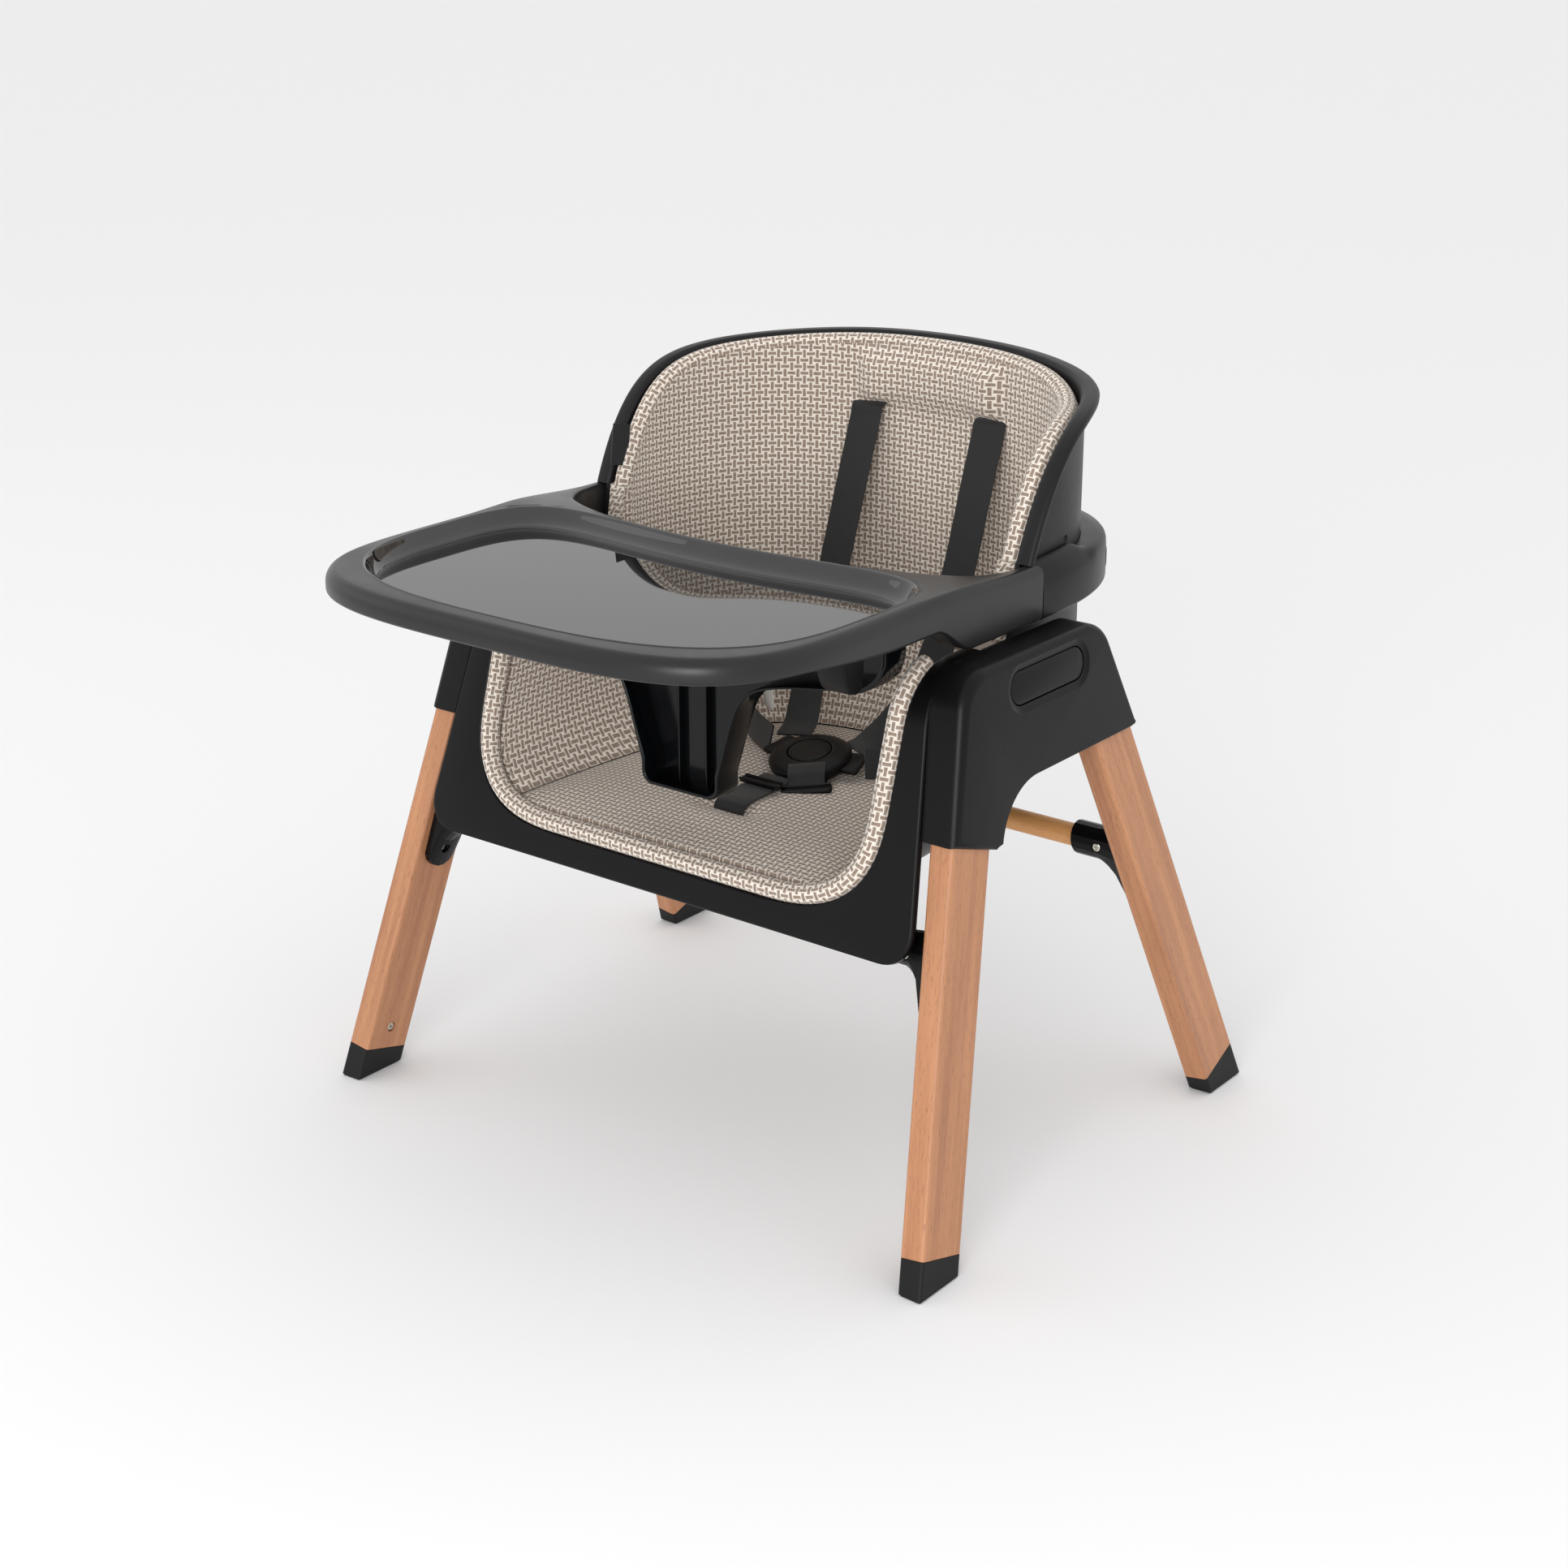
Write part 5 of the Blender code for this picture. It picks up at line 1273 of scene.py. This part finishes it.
# ---------------------------------------------------------------- padding
def pad_relief(x, z):
    """How far the back pad swells at a point: a full headrest above the strap slots, and soft creases."""
    slots = max(0.0, 1 - (abs(abs(x) - SLOT_X) / 0.019) ** 2)
    between = smooth((SLOT_X + 0.020 - abs(x)) / 0.016)
    head = smooth((z - (SLOT_Z - 0.0010 - 0.004 * (1 - slots))) / (0.0060 + 0.010 * (1 - slots)))
    head *= 1 - 0.6 * smooth((z - 0.495) / 0.020)
    puff = 0.0095 * head * (0.70 + 0.30 * slots) * between
    pinch = 0.0030 * slots * math.exp(-((z - SLOT_Z + 0.001) / 0.0050) ** 2)
    beside = max(0.0, 1 - (abs(abs(x) - SLOT_X) / 0.024) ** 4)
    drape = 0.0011 * math.sin(31 * x + 17 * z) * math.sin(23 * z - 9 * x) * (1 - beside)
    return puff - pinch + drape


def liner_outset(station, height):
    """Plan offset of the liner's back from the bucket's curve: it lies inside the wall and its corner."""
    clearance = BUCKET_WALL + PAD_GAP
    return -clearance - corner_inset(station, height - clearance)


def wing_edge(count=400):
    """The cushion's edge, drawn inwards from the rim: angles, heights and sags from front to back."""
    angles = np.array([a for a in rim_angles(2 * count) if a >= 0.0][::-1])
    plan = np.array([bucket_plan(a) for a in angles])
    run = run_lengths(plan)
    height = np.array([rim_height(a) for a in angles])
    across, up = np.gradient(run), np.gradient(height)
    length = np.hypot(across, up)
    moved_run = run + BINDING_INSET * up / length
    moved_height = height - BINDING_INSET * across / length
    moved_angle = np.interp(moved_run, run, angles)
    sag = 0.0050 * np.exp(-((moved_angle - 0.95) / 0.30) ** 2)
    return moved_angle, moved_height, sag


def edge_height(angle, edge):
    """Height of the cushion's edge line over an angle of the bucket, and how far it sags there."""
    angles, heights, sag = edge
    at = float(np.interp(-abs(angle), -angles, heights))
    return at - (float(np.interp(-angle, -angles, sag)) if angle > 0 else 0.0)


def make_back_pad(materials):
    """Liner of the bucket's wall: it follows the rounded corner down to the seat."""
    low, rows = 0.2290, 46
    edge = wing_edge()
    columns, girth = [], [0.0]
    for station in stations():
        side, angle = station
        top = WING_FOOT_Z if side else max(edge_height(angle, edge), WING_FOOT_Z)
        front, back = [], []
        for height in low + (top - low) * np.linspace(0, 1, rows):
            seam = panel_back_y(height, PAD_BACKING)
            x = bucket_point(station, -BUCKET_WALL, height, seam)[0]
            thick = PAD_THICKNESS + pad_relief(x, height) * smooth((top - height) / 0.012)
            outset = liner_outset(station, height)
            front.append(bucket_point(station, outset - thick, height, seam))
            back.append(bucket_point(station, outset, height, seam))
        columns.append(front + back[::-4] + [back[0]])
    for before, after in zip(columns, columns[1:]):
        girth.append(girth[-1] + (Vector(before[26]) - Vector(after[26])).length)
    middle = girth[-1] / 2

    def place(row, column):
        column %= len(columns[row])
        through = PAD_THICKNESS if column >= rows else 0.0
        return girth[row] - middle + through, columns[row][column][2]

    pad = make_piece(
        "back_cushion", Shape().loft(columns, cloth=place), materials["weave"], ("back_pad",),
        sharp=75,
    )


def make_binding(materials):
    """Rounded edge of the cushion inside the rim, down both wings to the seat."""
    radius = PAD_THICKNESS / 2
    half = list(zip(*wing_edge()))
    path = []
    for side in (-1, 1):
        line = []
        for angle, height, sag in half:
            x, y = bucket_plan(side * angle, -BUCKET_WALL - PAD_GAP - radius)
            line.append((x, y, height - (sag if side > 0 else 0.0)))
        foot = line[0]
        line = [(foot[0], foot[1], z) for z in np.linspace(0.3660, foot[2] - 0.004, 8)] + line
        path += line if side < 0 else line[::-1]
    path = [Vector(p) for p in resampled(path, 320)]
    outward = []
    for here in path:
        share = max(here.y - BUCKET_CURVE_Y, 0.0) / (BUCKET_BACK_Y - BUCKET_CURVE_Y)
        x = power(here.x / BUCKET_HALF_WIDTH, BUCKET_EXPONENT - 1)
        outward.append(Vector((x, share ** (BUCKET_EXPONENT - 1), 0)).normalized())
    section = [(radius * math.cos(a), radius * math.sin(a)) for a in np.linspace(0, 2 * math.pi, 25)[:-1]]
    roll = make_piece(
        "cushion_edge", swept(path, outward, section), materials["weave"], sharp=75,
    )


def make_seat_pad(materials):
    """Crowned seat pad, pinched round the slot of the crotch strap."""
    middle = np.array([0.0, 0.040])
    front_y = panel_back_y(SEAT_EDGE_Z) + 0.0012

    def outline(height):
        plan = [bucket_point(s, liner_outset(s, height), height, front_y)[:2] for s in stations(91)]
        return resampled(plan + plan[:1], 241)[:-1]

    def height_at(share, x, y):
        dome = SEAT_EDGE_Z + (SEAT_CROWN_Z + 0.0020 - SEAT_EDGE_Z) * (1 - share ** 5)
        slot = math.exp(-((y - CROTCH_Y) / 0.010) ** 2 - (x / 0.026) ** 4)
        ripple = 0.0010 * math.sin(38 * x + 5) * math.sin(44 * y + 1)
        return dome - 0.0055 * slot + ripple * (1 - share)

    rings = [[(x, y, z) for x, y in outline(z)] for z in (0.2150, 0.2168, 0.2206, 0.2240)]
    top = outline(0.2240)
    for share in (0.996, 0.988, 0.975, *np.linspace(0.955, 0.03, 36)):
        places = [middle + (p - middle) * share for p in top]
        rings.append([(x, y, height_at(share, x, y)) for x, y in places])

    def place(row, column):
        x, y, height = rings[row][column % len(rings[row])]
        return x, y + min(height - 0.2240, 0.0)

    pad = make_piece(
        "seat_cushion", Shape().loft(rings, cloth=place), materials["weave"], ("seat_pad",),
        sharp=75,
    )


def make_edge_roll(materials):
    """Padded roll that lines the opening, with the sewn line that runs along it."""
    opening = opening_outline(40)
    edge = offset_loop(opening, [ROLL_RADIUS + 0.0002] * len(opening))
    middle = [panel_surface(x, run, PANEL_THICKNESS / 2) for x, run in edge[4:-4]]
    path = [Vector(p) for p in resampled(middle, 300)]
    outward = []
    for i, here in enumerate(path):
        along = (path[min(i + 1, len(path) - 1)] - path[max(i - 1, 0)]).normalized()
        outward.append(along.cross(Vector((0, -1, PANEL_RAKE))).normalized())
    section = []
    for i in range(28):
        angle = 2 * math.pi * i / 28
        seam = 0.0011 * math.exp(-((angle - math.radians(232)) / 0.16) ** 2)
        section.append(((ROLL_RADIUS - seam) * math.cos(angle), (ROLL_RADIUS - seam) * math.sin(angle)))
    roll = make_piece(
        "opening_roll", swept(path, outward, section), materials["weave"], ("cushion_edge_roll",),
        sharp=75,
    )


# ---------------------------------------------------------------- harness
def pad_front_y(x, clearance):
    """Where the back pad's front lies at a distance from the middle."""
    depth = BUCKET_WALL + PAD_GAP + PAD_THICKNESS
    reach = BUCKET_BACK_Y - depth - BUCKET_CURVE_Y
    share = min(abs(x) / (BUCKET_HALF_WIDTH - depth), 1.0)
    return BUCKET_CURVE_Y + reach * (1 - share ** BUCKET_EXPONENT) ** (1 / BUCKET_EXPONENT) - clearance


def band(name, points, across, width, replaces, material, thickness=WEBBING_THICKNESS):
    """A flat woven strap with rounded edges along a smooth curve."""
    path = spline(points, 90)
    rings = []
    outline = rounded_rectangle(width, thickness, thickness * 0.42, 3)
    for i, here in enumerate(path):
        along = (path[min(i + 1, len(path) - 1)] - path[max(i - 1, 0)]).normalized()
        wide = Vector(across)
        wide = (wide - along * wide.dot(along)).normalized()
        thin = along.cross(wide)
        rings.append([here + wide * a + thin * b for a, b in outline])
    lengths, girth = run_lengths(np.array(path)), around(outline)
    shape = Shape().loft(rings, cloth=lambda row, column: (girth[column], lengths[row]))
    make_piece(name, shape, material, replaces, sharp=60)


def shoulder_route(side):
    """From the slot down the back, then over the seat to the buckle."""
    x = side * SLOT_X
    y = pad_front_y(SLOT_X + WEBBING_WIDTH / 2, 0.0018)
    return [
        (x, y + 0.010, SLOT_Z + 0.0006), (x, y + 0.0005, SLOT_Z - 0.0025), (x, y - 0.0025, SLOT_Z - 0.012),
        (x, y - 0.0155, 0.420), (x, y - 0.036, 0.362), (x * 0.95, y - 0.060, 0.305),
        (x * 0.80, y - 0.085, 0.272), (x * 0.62, 0.078, 0.2540), (x * 0.52, 0.062, 0.2480),
    ]


def lap_route(side):
    """From the side of the bucket to the buckle."""
    end = (side * 0.042 + BUCKLE_CENTRE.x, 0.048, 0.2458)
    return [(side * 0.119, 0.1075, 0.2620), (side * 0.096, 0.090, 0.2520), (side * 0.070, 0.068, 0.2465), end]


def crotch_route():
    """Up out of the seat's slot and back to the buckle."""
    y = CROTCH_Y
    return [
        (0, y, 0.2180), (0, y + 0.0005, 0.2310), (0, y + 0.008, 0.2350), (0, y + 0.026, 0.2358),
        (0, y + 0.044, 0.2366), (0, y + 0.056, 0.2374),
    ]


def make_straps(materials):
    """Shoulder straps drawn down from their slots to the buckle, lap straps and crotch strap."""
    material = materials["webbing"]
    for side_name, side in SIDES.items():
        name = f"shoulder_strap_{side_name}"
        band(f"{name}_woven", shoulder_route(side), (1, 0, 0), SHOULDER_WIDTH, (name,), material)
        name = f"lap_strap_{side_name}"
        band(f"{name}_woven", lap_route(side), LAP_ACROSS, LAP_WIDTH, (name,), material)
    band("crotch_strap_woven", crotch_route(), (1, 0, 0), WEBBING_WIDTH, ("crotch_strap",), material)


def make_buckle(materials):
    """Domed round buckle with a ringed button and a bar for each strap."""
    normal = Vector((0, -math.sin(BUCKLE_TILT), math.cos(BUCKLE_TILT)))
    body = [(-0.0060, 0.018), (-0.0058, 0.024), (-0.0046, 0.0282), (-0.0022, 0.0296), (-0.0012, 0.0297)]
    body += [(-0.0008, 0.0291), (-0.0004, 0.0291), (0.0, 0.0298), (0.0008, BUCKLE_RADIUS), (0.0018, 0.0297)]
    body += [(0.0030, 0.0284), (0.0042, 0.0262), (0.0052, 0.0232), (0.0060, 0.0198), (0.0064, 0.0172)]
    body += [(0.0062, 0.0164), (0.0054, 0.0162), (0.0016, 0.0161)]
    shape = turned(Shape(), BUCKLE_CENTRE, normal, body, 96)
    make_piece("buckle_case", shape, materials["satin"], ("buckle_body",), sharp=45)
    button = [(0.0042, 0.0150), (0.0056, 0.0155), (0.0062, 0.0153), (0.0066, 0.0146), (0.0068, 0.0120)]
    button += [(0.0069, 0.0070), (0.0069, 0.0010)]
    shape = turned(Shape(), BUCKLE_CENTRE, normal, button, 96)
    make_piece(
        "buckle_push_button", shape, materials["satin"], ("buckle_button",), body="buckle_button", sharp=45,
    )
    make_buckle_ends(normal, materials)


def make_buckle_ends(normal, materials):
    """Tongues of the lap straps, and the loop of webbing with its bar at the buckle's front."""
    for side_name, side in SIDES.items():
        outward = Vector((side, 0.25, 0)).normalized()
        across = normal.cross(outward).normalized()
        middle = BUCKLE_CENTRE + outward * (BUCKLE_RADIUS + 0.0035)
        shape = frame_bar(Shape(), middle, outward, across, 0.0130, LAP_WIDTH + 0.003, 0.0032, hole=False)
        make_piece(f"buckle_tongue_{side_name}", shape, materials["satin"], sharp=45)
    forward = Vector((math.sin(BUCKLE_TURN), -math.cos(BUCKLE_TURN), 0))
    forward = (forward - normal * forward.dot(normal)).normalized()
    across = normal.cross(forward).normalized()
    middle = BUCKLE_CENTRE + forward * (BUCKLE_RADIUS + 0.0120) - normal * 0.0020
    shape = frame_bar(Shape(), middle, forward, across, 0.0090, WEBBING_WIDTH + 0.010, 0.0032)
    make_piece("buckle_front_bar", shape, materials["satin"], sharp=45)
    loop = (
        (0.016, -0.0072), (0.030, -0.0066), (0.0385, -0.0014),
        (0.0345, 0.0046), (0.0260, 0.0066), (0.0205, 0.0070),
    )
    points = [BUCKLE_CENTRE + forward * reach + normal * rise for reach, rise in loop]
    band("buckle_front_loop", points, across, WEBBING_WIDTH, (), materials["webbing"])


def frame_bar(shape, middle, along, across, length, width, thickness, hole=True):
    """A flat rounded slider with eased edges, and where hole is true, a round bar across its face near each
    end.
    """
    up = along.cross(across).normalized()

    def ring(outline, rise):
        return [middle + along * b + across * a + up * rise for a, b in outline]

    outline = rounded_rectangle(width, length, 0.0022, 5)
    edge = offset_loop(outline, [0.0006] * len(outline))
    half = thickness / 2
    ease = half - 0.0006
    shape.loft([ring(edge, -half), ring(outline, -ease), ring(outline, ease), ring(edge, half)])
    if hole:
        for shift in (-length * 0.42, length * 0.42):
            bar = middle + along * shift + up * (half + 0.0002)
            rod = [bar + across * s for s in (-width / 2 + 0.001, width / 2 - 0.001)]
            direction = (rod[1] - rod[0]).normalized()
            turned(shape, rod[0], direction, [(0.0, 0.0010), ((rod[1] - rod[0]).length, 0.0010)], 16)
    return shape


def make_adjusters(materials):
    """Sliders on the straps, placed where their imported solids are."""
    across = {"lap_adjuster_left": LAP_ACROSS, "lap_adjuster_right": LAP_ACROSS, "crotch_adjuster": (1, 0, 0)}
    for node, wide in across.items():
        points = np.array([v.co[:] for v in frame["nodes"][node].data.vertices])
        middle = Vector(points.mean(axis=0)) - Vector((0, SHIFT_Y, 0))
        wide = Vector(wide).normalized()
        spread_out = points - points.mean(axis=0)
        spread_out -= np.outer(spread_out @ np.array(wide), wide)
        _, _, axes = np.linalg.svd(spread_out)
        along = Vector(axes[0])
        up = along.cross(wide)
        if up.y > 0 or (node == "crotch_adjuster" and up.z < 0):
            along = -along
        width = LAP_WIDTH + 0.005 if "lap" in node else WEBBING_WIDTH + 0.008
        shape = frame_bar(Shape(), middle, along, wide, 0.0082, width, 0.0026)
        make_piece(f"{node}_slider", shape, materials["satin"], (node,), sharp=45)


def make_labels(materials):
    """Blank black tag on a wing's front edge, and a blank white care label behind a lap strap."""
    points = [(-0.1700, 0.043, 0.4600), (-0.1690, 0.040, 0.4460), (-0.1680, 0.037, 0.4310)]
    band("side_tag", points, (0.35, 1.0, 0.1), 0.014, (), materials["webbing"], 0.0012)
    points = [(-0.0850, 0.100, 0.2620), (-0.0700, 0.086, 0.2665), (-0.0560, 0.074, 0.2700)]
    band("care_label", points, (0.30, -0.20, 1), 0.024, (), materials["label"], 0.0005)


# ---------------------------------------------------------------- scene
def dress_nodes(materials):
    """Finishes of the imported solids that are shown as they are."""
    for node in frame["nodes"]:
        if node.startswith("foot_cap"):
            wear(node, materials["rubber"], 0.0012)
        elif node.startswith(("crossbar_fitting", "seat_hub")):
            wear(node, materials["satin"], 0.0008)
        elif node.startswith("housing_cover"):
            wear(node, materials["satin"])
        elif node.startswith("release_spring"):
            wear(node, materials["screw"])


def make_studio():
    """Pale floor, a bright even world and two soft lights, in front and on the left."""
    floor = bpy.data.materials.new("studio_floor")
    floor.use_nodes = True
    shader = floor.node_tree.nodes["Principled BSDF"]
    shader.inputs["Base Color"].default_value = (0.90, 0.90, 0.905, 1)
    shader.inputs["Roughness"].default_value = 0.85
    shader.inputs["Specular IOR Level"].default_value = 0.1
    corners = [(x * FLOOR_HALF_SIZE, y * FLOOR_HALF_SIZE, 0) for x, y in ((-1, -1), (1, -1), (1, 1), (-1, 1))]
    mesh = bpy.data.meshes.new("studio_floor")
    mesh.from_pydata(corners, [], [(0, 1, 2, 3)])
    mesh.materials.append(floor)
    sweep = bpy.data.objects.new("studio_floor", mesh)
    bpy.context.scene.collection.objects.link(sweep)

    bpy.context.scene.view_settings.view_transform = "Standard"
    world = bpy.context.scene.world or bpy.data.worlds.new("studio")
    bpy.context.scene.world = world
    world.use_nodes = True
    background = world.node_tree.nodes["Background"]
    background.inputs["Color"].default_value = (1.0, 1.0, 1.0, 1)
    background.inputs["Strength"].default_value = 0.94

    lights = (
        ("front_soft", (1.3, -2.7, 1.1), (0, 0, 0.35), 1.5, 44),
        ("left_soft", (-2.4, -1.4, 1.6), (0, 0, 0.3), 1.6, 4),
    )
    for name, place, target, width, power_w in lights:
        data = bpy.data.lights.new(name, "AREA")
        data.shape = "SQUARE"
        data.size = width
        data.energy = power_w
        lamp = bpy.data.objects.new(name, data)
        lamp.location = place
        lamp.rotation_euler = (Vector(target) - Vector(place)).to_track_quat("-Z", "Y").to_euler()
        bpy.context.scene.collection.objects.link(lamp)


def make_camera():
    """The viewpoint of the reference view."""
    data = bpy.data.cameras.new("camera")
    data.lens = CAMERA_LENS_MM
    data.sensor_width = 36.0
    camera = bpy.data.objects.new("camera", data)
    level = math.cos(CAMERA_ELEVATION)
    away = Vector((
        math.sin(CAMERA_AZIMUTH) * level, -math.cos(CAMERA_AZIMUTH) * level, math.sin(CAMERA_ELEVATION),
    ))
    camera.location = CAMERA_TARGET + away * CAMERA_DISTANCE
    camera.rotation_euler = (-away).to_track_quat("-Z", "Y").to_euler()
    bpy.context.scene.collection.objects.link(camera)
    bpy.context.scene.camera = camera


make_camera()
make_studio()
MATERIALS = make_materials()
dress_timber()
dress_nodes(MATERIALS)
make_screws(MATERIALS)
make_crossbars(MATERIALS)
for side_name in SIDES:
    make_housing(side_name, MATERIALS)
make_shell(MATERIALS)
make_panel(MATERIALS)
make_ring(MATERIALS)
make_tray(MATERIALS)
make_liner(MATERIALS)
make_post(MATERIALS)
make_latches(MATERIALS)
make_back_pad(MATERIALS)
make_binding(MATERIALS)
make_seat_pad(MATERIALS)
make_edge_roll(MATERIALS)
make_straps(MATERIALS)
make_buckle(MATERIALS)
make_adjusters(MATERIALS)
make_labels(MATERIALS)
